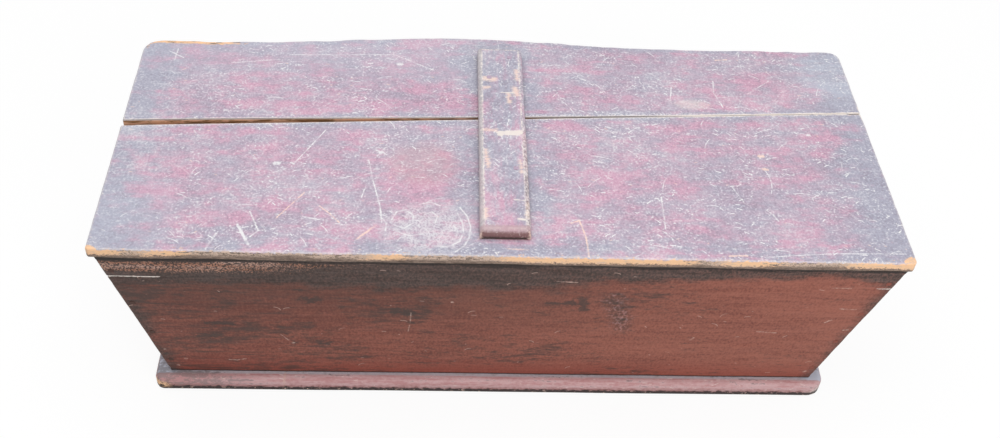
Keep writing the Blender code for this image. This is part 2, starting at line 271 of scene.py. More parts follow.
@dataclass(frozen=True)
class Cloud:
    """Cloudy noise on a board: how many clouds go to the metre each way, and how broken they are."""

    along: float
    across: float
    detail: float = 3.0
    rough: float = 0.55
    through: Optional[float] = None

    @property
    def stretch(self) -> Triple:
        """The clouds to the metre along each axis, as many through the board as across it if not told."""
        return self.along, self.across, self.across if self.through is None else self.through


@dataclass(frozen=True)
class Stroke:
    """One scratch or crack in a board's paint, drawn through places on the board."""

    width: float
    places: tuple[Place, ...]


@dataclass(frozen=True)
class Oval:
    """An area of a board's paint: its middle, and how far it reaches along and across."""

    middle: Place
    reach: Place


@dataclass(frozen=True)
class Nicks:
    """A scatter of short marks, one at most in each cell of a board's surface."""

    cell: float
    length: float
    width: float
    turn: float
    share: float
    bend: float = 0.0
    shift: float = 0.0


class Graph:
    """The nodes of one material, or of the surroundings."""

    SHEEN = 0.25

    def __init__(self, owner: Union[bpy.types.Material, bpy.types.World]) -> None:
        """Start with no nodes.

        Args:
            owner: the new material or world that the nodes are for.
        """
        self.owner = owner
        self.owner.use_nodes = True
        self.tree = self.owner.node_tree
        self.tree.nodes.clear()

    def node(
        self,
        kind: str,
        settings: dict[str, object],
        inputs: dict[object, Value],
        output: Union[int, str] = 0,
    ) -> Wire:
        """Add a node.

        Args:
            kind: the node's type.
            settings: its own settings, which are set first.
            inputs: a value or a link for each socket, by name or number.
            output: the output that is wanted, by name or number.

        Returns:
            That output.
        """
        made = self.tree.nodes.new(kind)
        for key, value in settings.items():
            setattr(made, key, value)
        for key, value in inputs.items():
            socket = made.inputs[key]
            if isinstance(value, Wire):
                self.tree.links.new(value.socket, socket)
            elif socket.type == "RGBA":
                socket.default_value = (*value, 1.0)
            elif socket.type == "VECTOR" and not isinstance(value, tuple):
                socket.default_value = (value, value, value)
            else:
                socket.default_value = value
        return Wire(self, made.outputs[output])

    def vector(self, operation: str, inputs: dict[object, Value], output: str) -> Wire:
        """Add a step of vectors that isn't a plain sum."""
        return self.node("ShaderNodeVectorMath", {"operation": operation}, inputs, output)

    def told(self, name: str) -> Wire:
        """What a mesh tells of each of its points under this name."""
        return self.node("ShaderNodeAttribute", {"attribute_name": name}, {}, "Vector")

    def mix(self, share: Value, ground: Value, over: Value) -> Wire:
        """One colour laid over another by a share."""
        return self.node("ShaderNodeMix", {"data_type": "RGBA"}, {0: share, 6: ground, 7: over}, 2)

    def noise(self, place: Wire, kind: Cloud) -> Wire:
        """Cloudy noise from 0 to 1."""
        look = {"Scale": 1.0, "Detail": kind.detail, "Roughness": kind.rough}
        return self.node("ShaderNodeTexNoise", {}, {"Vector": place * kind.stretch, **look})

    def nicks(self, place: Wire, kind: Nicks) -> Wire:
        """The places covered by a scatter of short marks.

        Args:
            place: where on the board, with nothing in z.
            kind: how large, how turned and how frequent the marks are.

        Returns:
            1 on a mark and 0 off it.
        """
        moved = place + (kind.shift, kind.shift, 0.0)
        cells = {"Vector": moved, "Scale": 1.0 / kind.cell}
        middle = self.node("ShaderNodeTexVoronoi", {"voronoi_dimensions": "2D"}, cells, "Position")
        chance = middle.beside("Color")
        angle = (chance.part("X") - 0.5) * (2.0 * kind.turn)
        turned = {"Vector": moved - middle, "Angle": angle}
        way = self.node("ShaderNodeVectorRotate", {"rotation_type": "Z_AXIS"}, turned)
        along = way.part("X")
        off = abs(way.part("Y") + along * along * kind.bend)
        lot = chance.part("Y")
        reach = abs(along) - lot * lot * kind.length
        mark = off.rise(kind.width, kind.width * 0.3) * reach.rise(kind.width, -kind.width)
        return mark * (kind.share - chance.part("Z")).rise(0.0, kind.share * 0.7)

    def strokes(self, place: Wire, drawn: Sequence[Stroke]) -> Wire:
        """How far a place lies from drawn strokes.

        Args:
            place: where on the board, with nothing in z.
            drawn: the strokes.

        Returns:
            The distance outside the nearest one, in metres.
        """
        gap: Value = 1.0
        for stroke in drawn:
            for start, end in zip(stroke.places, stroke.places[1:]):
                run = np.subtract(end, start)
                near = place - (*start, 0.0)
                ahead = (float(run[0]), float(run[1]), 0.0)
                scaled = tuple(float(n) for n in (*(run / (run @ run)), 0.0))
                share = self.vector("DOT_PRODUCT", {0: near, 1: scaled}, "Value")
                held = self.vector("SCALE", {0: ahead, "Scale": share.within()}, "Vector")
                off = self.vector("DISTANCE", {0: near, 1: held}, "Value")
                gap = (off - stroke.width / 2).least(gap)
        return gap

    def dress(self, colour: Value, rough: Value, height: Value, metal: float = 0.0) -> bpy.types.Material:
        """Finish the material.

        Args:
            colour: its colour.
            rough: its roughness.
            height: its fine relief, in millimetres.
            metal: how far it is metal.

        Returns:
            The material.
        """
        relief = {"Strength": 1.0, "Distance": MILLIMETRE, "Height": height}
        bump = self.node("ShaderNodeBump", {}, relief, "Normal")
        inputs = {"Base Color": colour, "Roughness": rough, "Metallic": metal, "Normal": bump}
        inputs["Specular IOR Level"] = self.SHEEN
        self.node_out(self.node("ShaderNodeBsdfPrincipled", {}, inputs))
        return self.owner

    def node_out(self, shader: Wire, kind: str = "ShaderNodeOutputMaterial") -> None:
        """Link a shader to a new output of a kind."""
        out = self.tree.nodes.new(kind)
        self.tree.links.new(shader.socket, out.inputs["Surface"])


class Finish:
    """What the finishes of the boards share: where a point lies, how worn it is, and the wood below."""

    SWELL = Cloud(1.3, 9.0, 2.0, 0.45)
    WANDER = Cloud(9.0, 60.0)
    PORES = Cloud(26.0, 700.0, 3.0, 0.6)
    STAIN = Cloud(5.0, 9.0, 5.0, 0.62)
    OPEN_GRAIN = Cloud(22.0, 520.0, 4.0)
    RING_COUNT = 17.0

    def __init__(self, name: str) -> None:
        """Start the finish's nodes.

        Args:
            name: the material's name.
        """
        self.graph = Graph(bpy.data.materials.new(name))
        self.place = self.graph.told(GRAIN)
        self.flat = self.place * (1.0, 1.0, 0.0)
        self.along = self.place.part("X")
        self.across = self.place.part("Y")
        self.through = self.place.part("Z")
        worn = self.graph.told(WEAR)
        self.edge = worn.part("X")
        self.bare = worn.part("Y")

    def noise(self, kind: Cloud) -> Wire:
        """Noise on the board, from 0 to 1."""
        return self.graph.noise(self.place, kind)

    def swing(self, kind: Cloud) -> Wire:
        """Noise on the board, about 0."""
        return self.noise(kind) - 0.5

    def nicks(self, kind: Nicks) -> Wire:
        """Where a scatter of short marks covers the board."""
        return self.graph.nicks(self.flat, kind)

    def marks(self, drawn: Sequence[Stroke], broken: Wire, spread: float, border: Place) -> Wire:
        """Where drawn strokes cover the board.

        Args:
            drawn: the strokes.
            broken: noise about 0 that breaks up their borders.
            spread: how far the noise moves a border, in metres.
            border: how far outside a stroke's line its colour starts, and where it is full.

        Returns:
            1 on a stroke and 0 off it.
        """
        return (self.graph.strokes(self.flat, drawn) + broken * spread).rise(*border)

    def pine(self) -> Wire:
        """Bare aged pine, with its grain drawn out along the board.

        Returns:
            Its colour.
        """
        graph = self.graph
        swell = self.noise(self.SWELL)
        wander = self.noise(self.WANDER)
        ring = swell * self.RING_COUNT + wander * 0.8
        rings = graph.node("ShaderNodeMath", {"operation": "FRACT"}, {0: ring})
        late = rings.rise(0.25, 0.92) * rings.rise(1.0, 0.94)
        pores = self.noise(self.PORES)
        stain = self.noise(self.STAIN)
        wood = graph.mix((late * 0.52 + (pores - 0.35) * 0.8).within(), HONEY_PINE, DARK_PINE)
        return graph.mix(stain.rise(0.44, 0.74) * 0.5, wood, GRIMY_WOOD)


class FadedPaint(Finish):
    """Old red paint faded to lilac and paled further by painted sky sheen, with pink streaks, grey dust and
    a scatter of chalky nicks.
    """

    OPEN_GRAIN = Cloud(30.0, 600.0, 4.0)
    PATCH = Cloud(9.0, 22.0, 4.0, 0.6)
    BLOTCH = Cloud(38.0, 52.0, 4.0, 0.66)
    STREAK = Cloud(13.0, 66.0, 5.0, 0.66)
    VEIL = Cloud(9.0, 15.0, 3.0, 0.6)
    HAZE = Cloud(105.0, 88.0, 4.0, 0.7)
    POWDER = Cloud(330.0, 310.0, 2.0, 0.6)
    CROWD = Cloud(24.0, 36.0, 4.0)
    NICK_FADE = Cloud(150.0, 150.0, 2.0)
    SCUFF = Cloud(58.0, 125.0, 4.0, 0.7)
    SHORT_NICKS = Nicks(cell=0.0086, length=0.0058, width=0.0010, turn=0.9, share=0.62, bend=25.0)
    DOTS = Nicks(cell=0.0088, length=0.0012, width=0.0015, turn=1.6, share=0.55, shift=3.0)
    LONG_NICKS = Nicks(cell=0.025, length=0.016, width=0.0010, turn=1.1, share=0.70, bend=14.0, shift=7.0)
    WILD_NICKS = Nicks(cell=0.050, length=0.028, width=0.0010, turn=1.6, share=0.70, bend=8.0, shift=11.0)

    def __init__(self, name: str) -> None:
        """Start the finish, with the noise that its colours and marks share.

        Args:
            name: the material's name.
        """
        super().__init__(name)
        patch = self.noise(self.PATCH)
        blotch = self.noise(self.BLOTCH)
        streak = self.noise(self.STREAK)
        self.hue = patch * 0.38 + blotch * 0.34 + streak * 0.28
        self.powder = self.noise(self.POWDER)

    def ground(self, grey: Value) -> Wire:
        """The paint itself: faded, and partly lightened to lilac and blue-grey by painted sky sheen.

        Args:
            grey: how far dust and wear have greyed it, from 0 to 1.

        Returns:
            Its colour.
        """
        graph = self.graph
        # Painted sheen: the lilac, blue-grey and chalk tones are partly faded paint and partly the sky's
        # reflection painted into the colour.
        paint = graph.mix(self.hue.rise(0.47, 0.60), LILAC, PINK)
        dust_and_sheen = (grey + (0.5 - self.hue) * 3.6).rise(0.18, 0.95)
        paint = graph.mix(dust_and_sheen * 0.95, paint, BLUE_GREY)
        light = self.noise(self.VEIL) * 0.25 + self.noise(self.HAZE) * 0.33 + self.powder * 0.42
        paint = graph.mix(light.rise(0.47, 0.66) * 0.44, paint, CHALK)
        return graph.mix(light.rise(0.50, 0.36) * 0.50, paint, SLATE)

    def chalk(self) -> Wire:
        """The chalky nicks, scuffs and powder on the paint.

        Returns:
            1 where they cover it and 0 where they don't.
        """
        crowd = (self.hue + self.swing(self.CROWD) * 1.1).rise(0.60, 0.36)
        short = self.nicks(self.SHORT_NICKS)
        dots = self.nicks(self.DOTS)
        long = self.nicks(self.LONG_NICKS)
        wild = self.nicks(self.WILD_NICKS)
        fade = self.noise(self.NICK_FADE).rise(0.32, 0.62)
        powder = (self.powder + crowd * 0.07).rise(0.61, 0.77) * 0.5
        scuff = self.noise(self.SCUFF).rise(0.60, 0.70)
        powder = powder.most(scuff * self.powder.rise(0.42, 0.60) * 0.6)
        small = short.most(dots) * (crowd + 0.18)
        return small.within().most(powder).most(long.most(wild) * fade * 0.85)


class LidPaint(FadedPaint):
    """The faded paint of the lid's two boards, with painted sky sheen, worn through along its edges."""

    CHALK_STROKES = (
        Stroke(0.0017, ((-0.179, 0.170), (-0.173, 0.136), (-0.161, 0.084), (-0.158, 0.056))),
        Stroke(0.0036, ((-0.333, 0.046), (-0.317, 0.014))),
        Stroke(0.0018, ((-0.321, 0.070), (-0.307, 0.037), (-0.316, 0.026))),
        Stroke(0.0026, ((-0.357, 0.031), (-0.366, 0.004))),
        Stroke(0.0013, ((-0.239, 0.228), (-0.260, 0.188), (-0.277, 0.156))),
        Stroke(0.0012, ((-0.380, 0.369), (-0.313, 0.380))),
        Stroke(0.0011, ((-0.298, 0.392), (-0.152, 0.399), (-0.094, 0.363))),
        Stroke(0.0016, ((0.306, 0.358), (0.303, 0.330), (0.311, 0.299))),
        Stroke(0.0015, ((0.243, 0.341), (0.237, 0.309))),
        Stroke(0.0015, ((0.199, 0.112), (0.197, 0.054))),
        Stroke(0.0012, ((0.296, 0.133), (0.306, 0.106))),
        Stroke(0.0011, ((0.389, 0.362), (0.351, 0.330))),
        Stroke(0.0012, ((0.314, 0.008), (0.400, 0.016), (0.496, 0.018))),
        Stroke(0.0012, ((-0.470, 0.392), (-0.448, 0.377))),
        Stroke(0.0012, ((-0.459, 0.398), (-0.460, 0.371))),
        Stroke(0.0014, ((-0.182, 0.115), (-0.185, 0.100))),
        Stroke(0.0014, ((-0.256, 0.063), (-0.234, 0.058))),
    )
    OUTER_CURL = (
        (-0.061, 0.085),
        (-0.052, 0.069),
        (-0.048, 0.051),
        (-0.050, 0.032),
        (-0.056, 0.018),
        (-0.067, 0.007),
    )
    INNER_CURL = ((-0.064, 0.074), (-0.058, 0.057), (-0.057, 0.040), (-0.062, 0.025), (-0.075, 0.016))
    SWIRL_STROKES = (
        Stroke(0.0018, OUTER_CURL),
        Stroke(0.0020, INNER_CURL),
        Stroke(0.0018, ((-0.069, 0.052), (-0.064, 0.043), (-0.066, 0.032))),
        Stroke(0.0016, ((-0.095, 0.018), (-0.085, 0.015), (-0.069, 0.017))),
        Stroke(0.0018, ((-0.146, 0.060), (-0.140, 0.075), (-0.129, 0.079), (-0.119, 0.069))),
        Stroke(0.0018, ((-0.119, 0.069), (-0.120, 0.055), (-0.130, 0.046), (-0.142, 0.051))),
        Stroke(0.0016, ((-0.112, 0.089), (-0.098, 0.094), (-0.086, 0.087))),
        Stroke(0.0016, ((-0.105, 0.071), (-0.096, 0.076), (-0.089, 0.068), (-0.092, 0.056))),
        Stroke(0.0016, ((-0.135, 0.038), (-0.122, 0.033), (-0.107, 0.037))),
        Stroke(0.0014, ((-0.158, 0.063), (-0.152, 0.054), (-0.153, 0.041))),
    )
    SPOTS = (
        Stroke(0.0058, ((-0.165, 0.186), (-0.162, 0.186))),
        Stroke(0.0020, ((-0.170, 0.190), (-0.156, 0.182))),
        Stroke(0.0020, ((-0.169, 0.178), (-0.158, 0.196))),
        Stroke(0.0070, ((-0.299, 0.160), (-0.295, 0.160))),
        Stroke(0.0055, ((-0.146, 0.377), (-0.142, 0.377))),
        Stroke(0.0050, ((0.420, 0.243), (0.422, 0.243))),
    )
    WOOD_STROKES = (
        Stroke(0.0015, ((-0.257, 0.106), (-0.288, 0.059))),
        Stroke(0.0015, ((-0.236, 0.082), (-0.222, 0.068), (-0.210, 0.054))),
        Stroke(0.0026, ((-0.187, 0.026), (-0.165, 0.050))),
        Stroke(0.0019, ((0.078, 0.061), (0.089, 0.066), (0.095, 0.037), (0.096, 0.003))),
        Stroke(0.0022, ((0.271, 0.009), (0.293, 0.010))),
        Stroke(0.0018, ((-0.004, 0.014), (0.022, 0.013))),
        Stroke(0.0028, ((0.318, 0.408), (0.334, 0.410))),
        Stroke(0.0050, ((0.344, 0.171), (0.349, 0.170))),
        Stroke(0.0060, ((0.344, 0.197), (0.348, 0.197))),
    )
    SWIRL_NICKS = Nicks(cell=0.013, length=0.009, width=0.0010, turn=1.6, share=0.85, bend=30.0, shift=5.0)
    SPARKS = Nicks(cell=0.021, length=0.003, width=0.0014, turn=0.8, share=0.30, shift=23.0)
    RAGGED = Cloud(170.0, 280.0, 4.0, 0.68)
    FIBRES = Cloud(60.0, 420.0, 4.0, 0.68)
    GRIT = Cloud(420.0, 900.0, 3.0, 0.7)
    GRIME = Cloud(9.0, 9.0)
    ENDS_VEIL = Cloud(26.0, 90.0, 5.0, 0.68)
    CRUMBLE = Cloud(420.0, 420.0, 4.0, 0.7)
    STROKE_FADE = Cloud(70.0, 70.0)
    SEAM_FIBRE = Cloud(24.0, 300.0, 5.0, 0.72, 170.0)
    SWIRL = Oval((-0.102, 0.047), (0.074, 0.060))
    RED_ZONE = Oval((-0.108, 0.165), (0.060, 0.055))
    PALE_PATCH = Oval((0.268, 0.303), (0.034, 0.014))
    # Where a painted reflection of the sky pales the lid's ends, and how strongly
    PALE_ENDS = ((Oval((0.492, 0.385), (0.075, 0.095)), 0.55), (Oval((-0.466, 0.062), (0.075, 0.095)), 0.22))
    WORN_CORNERS = (Oval((0.505, 0.005), (0.020, 0.011)), Oval((-0.509, 0.000), (0.020, 0.011)))
    WORN_BACK = (-0.508, -0.365)
    BARE_STRETCHES = (
        (-0.53, -0.466),
        (-0.440, -0.394),
        (-0.170, -0.130),
        (-0.014, 0.226),
        (0.26, 0.33),
        (0.42, 0.53),
    )
    STRETCH_BORDER = 0.012
    HALF_LENGTH = 0.508
    BATTEN_MIDDLE = -0.0035
    BATTEN_HALF_WIDTH = 0.034
    SEAM_MIDDLE = 0.263
    SEAM_SLOPE = 0.064

    def stretch(self, ragged: Wire) -> Wire:
        """Where along the lid's front edge fresh wood shows.

        Args:
            ragged: noise about 0 that breaks up the borders.

        Returns:
            1 on a bare stretch and 0 off it.
        """
        along = self.along + ragged * 0.09
        border = self.STRETCH_BORDER
        found: Value = 0.0
        for start, end in self.BARE_STRETCHES:
            begun = along.rise(start - border, start + border)
            found = (begun * along.rise(end + border, end - border)).most(found)
        return found

    def near(self, area: Oval) -> Wire:
        """How far inside an oval on the lid a point lies.

        Args:
            area: the oval.

        Returns:
            1 in its middle and 0 outside it.
        """
        off = (self.flat - (*area.middle, 0.0)) * (1.0 / area.reach[0], 1.0 / area.reach[1], 0.0)
        return self.graph.vector("LENGTH", {0: off}, "Value").rise(1.0, 0.45)

    def from_seam(self) -> Wire:
        """How far a point lies from the middle of the seam."""
        return abs(self.across - self.along * self.SEAM_SLOPE - self.SEAM_MIDDLE)

    def greyed(self) -> Wire:
        """How far dust, wear and painted sky sheen grey the paint: most at the ends, edges, seam and batten.

        Returns:
            Its greyness, from 0 to 1.
        """
        ends = (abs(self.along) - self.HALF_LENGTH).rise(-0.090, -0.010)
        front = self.across.rise(0.055, 0.0)
        batten = (abs(self.along - self.BATTEN_MIDDLE) - self.BATTEN_HALF_WIDTH).rise(0.045, 0.0)
        edge = self.edge.rise(0.020, 0.0)
        return (ends * 0.62).most(front * 0.36).most(batten * 0.42).most(edge * 0.4) + 0.30

    def weathered(self) -> Wire:
        """The faded paint with its redder and paler areas, and painted sky reflections at the ends.

        Returns:
            Its colour.
        """
        graph = self.graph
        paint = self.ground(self.greyed())
        paint = graph.mix(self.near(self.RED_ZONE) * 0.35, paint, ROSE)
        back_left = self.across.rise(0.31, 0.39) * self.along.rise(0.10, -0.10)
        paint = graph.mix(back_left * 0.20, paint, PALE_BLUE)
        # Painted reflection: a pale blue sheen of the sky over both ends, strongest at the back of the right
        # end.
        veil = self.noise(self.ENDS_VEIL).rise(0.36, 0.62)
        for area, share in self.PALE_ENDS:
            paint = graph.mix(self.near(area) * (veil * share + 0.08), paint, PALE_BLUE)
        return paint

    def front_wood(self, ragged: Wire, fibres: Wire, grit: Wire) -> Wire:
        """The wood of the lid's front edge: grimy below, with fresh stretches above.

        Args:
            ragged: coarse noise about 0.
            fibres: noise about 0 that is drawn out along the grain.
            grit: fine noise about 0.

        Returns:
            Its colour.
        """
        graph = self.graph
        high = self.through + ragged * 0.014 + fibres * 0.010 + grit * 0.012
        wood = graph.mix((fibres + ragged * 0.9 + grit).rise(-0.02, 0.12), TAN_WOOD, GRIMY_WOOD)
        grime = self.swing(self.GRIME) * 0.022
        dirty = (high - grime).rise(0.0084, 0.0054) * (0.66 - grit * 1.2).within()
        face = graph.mix(dirty, wood, UMBER)
        fresh = graph.mix((fibres + ragged * 0.5).rise(0.03, 0.16) * 0.8, FRESH_WOOD, TAN_WOOD)
        return graph.mix(self.stretch(ragged + fibres) * high.rise(0.0045, 0.0075), face, fresh)

    def rim(self, paint: Wire) -> Wire:
        """Wear the paint's edges: chalky ends and seam, a painted shade line along the open part of the
        seam, and bare wood along the front.

        Args:
            paint: the paint's colour.

        Returns:
            The worn paint's colour.
        """
        graph = self.graph
        ragged = self.swing(self.RAGGED)
        fibres = self.swing(self.FIBRES)
        seam = self.from_seam().rise(0.018, 0.012)
        worn = (self.edge + ragged * 0.010).rise(0.0036, 0.0012)
        rubbed = seam * (self.along.rise(0.18, 0.28) * 0.40 + 0.30) + 0.30
        paint = graph.mix(worn * rubbed, paint, CREAM)
        # Painted shade: a dark line on the seam's arrises for the shadow inside the narrow gap.
        shut = self.edge.rise(0.0013, 0.0005) * seam * self.along.rise(0.27, 0.17)
        paint = graph.mix(shut * 0.8, paint, UMBER)
        grit = self.swing(self.GRIT)
        face = self.front_wood(ragged, fibres, grit)
        over = (self.through + ragged * 0.010).rise(0.0150, 0.0138) * self.across.rise(0.009, 0.006)
        broken = ragged * 4.0 + grit * 4.0 + 1.0
        for corner in self.WORN_CORNERS:
            over = over.most((self.near(corner) * broken).rise(0.40, 0.66))
        start, end = self.WORN_BACK
        along = self.along + ragged * 0.1
        chipped = along.rise(start, start + 0.02) * along.rise(end, end - 0.03)
        back = (self.edge + ragged * 0.010).rise(0.0085, 0.0050) * self.across.rise(0.394, 0.400)
        splintered = graph.mix(fibres.rise(0.0, 0.1), FRESH_WOOD, GRIMY_WOOD)
        paint = graph.mix(back * chipped, paint, splintered)
        return graph.mix(over, paint, face)

    def inner_wood(self) -> Wire:
        """The bare wood of the underside, and of the seam, which is orange at its open end.

        Returns:
            Its colour.
        """
        graph = self.graph
        seam = graph.mix(self.noise(self.SEAM_FIBRE).rise(0.44, 0.58), SEAM_ORANGE, DARK_PINE)
        seam = graph.mix(self.along.rise(-0.10, 0.10) * 0.75, seam, GRIMY_WOOD)
        return graph.mix(self.through.rise(0.002, 0.005), self.pine(), seam)

    def material(self) -> bpy.types.Material:
        """Lay the paint, its marks, its worn edges and the bare underside.

        Returns:
            The material.
        """
        graph = self.graph
        paint = self.weathered()
        chalk = self.chalk() * (1.0 - self.along.rise(-0.395, -0.470) * 0.55)
        crumble = self.swing(self.CRUMBLE)
        fade = self.noise(self.STROKE_FADE).rise(0.34, 0.56) * 0.65 + 0.25
        swirl = self.nicks(self.SWIRL_NICKS) * 0.75
        cloud = (crumble + fade * 0.2).rise(0.08, 0.22) * 0.5
        chalk = chalk.most(swirl.most(cloud) * self.near(self.SWIRL))
        curls = self.marks(self.SWIRL_STROKES, crumble, 0.004, (0.0008, -0.0006))
        drawn = self.marks(self.CHALK_STROKES, crumble, 0.004, (0.0007, -0.0006))
        spots = self.marks(self.SPOTS, crumble, 0.012, (0.0010, -0.0010))
        patch = self.near(self.PALE_PATCH) * (crumble * 2.0 + 0.75).within()
        paint = graph.mix(patch * 0.5, paint, CREAM)
        gap = self.from_seam().rise(0.014, 0.002)
        scuff = (crumble + gap * 0.14).rise(0.12, 0.24) * gap * self.along.rise(0.32, 0.22)
        lines = (drawn * fade).most(curls * (fade * 0.75 + 0.15))
        lines = lines.most(spots * (crumble * 2.0 + 0.8).within()).most(scuff * 0.8)
        top = self.through.rise(0.0115, 0.0140)
        paint = graph.mix(chalk.most(lines) * (top * 0.9 + 0.1), paint, CHALK)
        gouged = self.marks(self.WOOD_STROKES, crumble, 0.005, (0.0007, -0.0006)) * fade
        sparks = self.nicks(self.SPARKS)
        paint = graph.mix((gouged * 0.9).most(sparks * 0.5) * top, paint, PEACH)
        wood = self.inner_wood()
        paint = graph.mix(self.bare, self.rim(paint), wood)
        grain = self.noise(self.OPEN_GRAIN)
        return graph.dress(paint, grain * 0.16 + 0.48 + chalk * 0.1, grain * 0.16)


class BattenPaint(FadedPaint):
    """The paint of the batten: greyer than the lid's, and rubbed to cream and bare wood on its edges."""

    WOOD_PATCHES = (
        Stroke(0.0090, ((0.300, 0.042), (0.301, 0.054))),
        Stroke(0.0060, ((0.281, 0.050), (0.281, 0.055))),
        Stroke(0.0080, ((0.266, 0.010), (0.280, 0.013))),
        Stroke(0.0050, ((0.300, 0.009), (0.320, 0.010))),
        Stroke(0.0050, ((0.250, 0.021), (0.268, 0.022))),
        Stroke(0.0050, ((0.150, 0.055), (0.118, 0.052))),
        Stroke(0.0040, ((0.108, 0.009), (0.130, 0.010))),
        Stroke(0.0060, ((0.038, 0.057), (0.024, 0.057))),
        Stroke(0.0040, ((0.026, 0.004), (0.050, 0.004))),
        Stroke(0.0042, ((0.190, 0.040), (0.191, 0.058))),
    )
    CREAM_BAND = (
        Stroke(0.0100, ((0.186, 0.010), (0.185, 0.026))),
        Stroke(0.0050, ((0.186, 0.026), (0.187, 0.036))),
        Stroke(0.0085, ((0.183, 0.034), (0.184, 0.036))),
        Stroke(0.0018, ((0.056, 0.007), (0.056, 0.020))),
        Stroke(0.0030, ((0.021, 0.008), (0.022, 0.016))),
        Stroke(0.0014, ((0.270, 0.014), (0.271, 0.032))),
    )
    RAGGED = Cloud(260.0, 300.0, 4.0, 0.68)
    COMBED = Cloud(420.0, 70.0, 4.0, 0.68)
    RIBS = Cloud(60.0, 480.0, 2.0, through=60.0)
    BEVEL = 0.0066
    HALF_WIDTH = 0.032

    def material(self) -> bpy.types.Material:
        """Lay the paint, its worn patches, its rubbed edges, its dark front end and a painted shade along
        its foot.

        Returns:
            The material.
        """
        graph = self.graph
        paint = self.ground(0.46 + self.along * 0.9)
        paint = graph.mix(self.chalk() * 0.9, paint, CHALK)
        ragged = self.swing(self.RAGGED)
        combed = self.swing(self.COMBED)
        patch = self.marks(self.WOOD_PATCHES, combed, 0.016, (0.0030, -0.0030))
        paint = graph.mix(patch * 0.75, paint, PEACH)
        band = self.marks(self.CREAM_BAND, combed, 0.008, (0.0010, -0.0008))
        paint = graph.mix(band * 0.9, paint, CREAM)
        paint = self.front_end(self.bevelled(paint, ragged), ragged)
        # Painted shade: the lowest few millimetres of the batten's sides are darkened where it sits on the
        # lid.
        low = (self.through + ragged * 0.004).rise(0.0050, 0.0020)
        paint = graph.mix(low * 0.8, paint, SOOT_AND_SHADE)
        corners = (abs(self.across - self.HALF_WIDTH) + ragged * 0.012).rise(0.027, 0.031)
        paint = graph.mix(corners * self.along.rise(0.006, 0.003) * 0.6, paint, PEACH)
        paint = graph.mix(self.bare, paint, self.pine())
        grain = self.noise(self.OPEN_GRAIN)
        return graph.dress(paint, grain * 0.16 + 0.48, grain * 0.16)

    def bevelled(self, paint: Wire, ragged: Wire) -> Wire:
        """Rub the long edges: grey on the left, bare on the right, with a cream line on the bevel.

        Args:
            paint: the paint's colour.
            ragged: noise about 0.

        Returns:
            The rubbed paint's colour.
        """
        graph = self.graph
        worn = self.edge + ragged * 0.0050
        shade = graph.mix(ragged.rise(-0.10, 0.10), GRIMY_WOOD, CREAM)
        right = self.across.rise(0.020, 0.0) * self.along.rise(0.24, 0.12)
        bevel = worn.rise(self.BEVEL - 0.0005, self.BEVEL - 0.002)
        paint = graph.mix(bevel * self.across.rise(0.040, 0.060) * 0.6, paint, BEVEL_GREY)
        paint = graph.mix(bevel * (right * 0.45 + 0.16), paint, shade)
        line = worn.rise(self.BEVEL - 0.0024, self.BEVEL - 0.0010)
        line = line * worn.rise(self.BEVEL + 0.0014, self.BEVEL)
        return graph.mix(line * ragged.rise(-0.10, 0.08) * 0.8, paint, CREAM)

    def front_end(self, paint: Wire, ragged: Wire) -> Wire:
        """Darken the front end below its worn nose, with a painted shade line at its foot.

        Args:
            paint: the paint's colour.
            ragged: noise about 0.

        Returns:
            The colour with the front end in it.
        """
        graph = self.graph
        ribs = self.noise(self.RIBS).rise(0.30, 0.70)
        nose = (self.along - ribs * 0.002).rise(0.0120, 0.0080)
        paint = graph.mix(nose * 0.75, paint, BATTEN_NOSE)
        face = (self.along + ragged * 0.004).rise(0.0066, 0.0018)
        height = self.through + ragged * 0.004 - ribs * 0.0008
        paint = graph.mix(face * height.rise(0.0140, 0.0085) * 0.92, paint, BATTEN_FACE)
        paint = graph.mix(face * ragged.rise(0.06, 0.18) * 0.35, paint, CREAM)
        # Painted shade: near black at the foot of the front end, where it meets the lid.
        return graph.mix(face * height.rise(0.0060, 0.0015) * 0.7, paint, NIGHT)


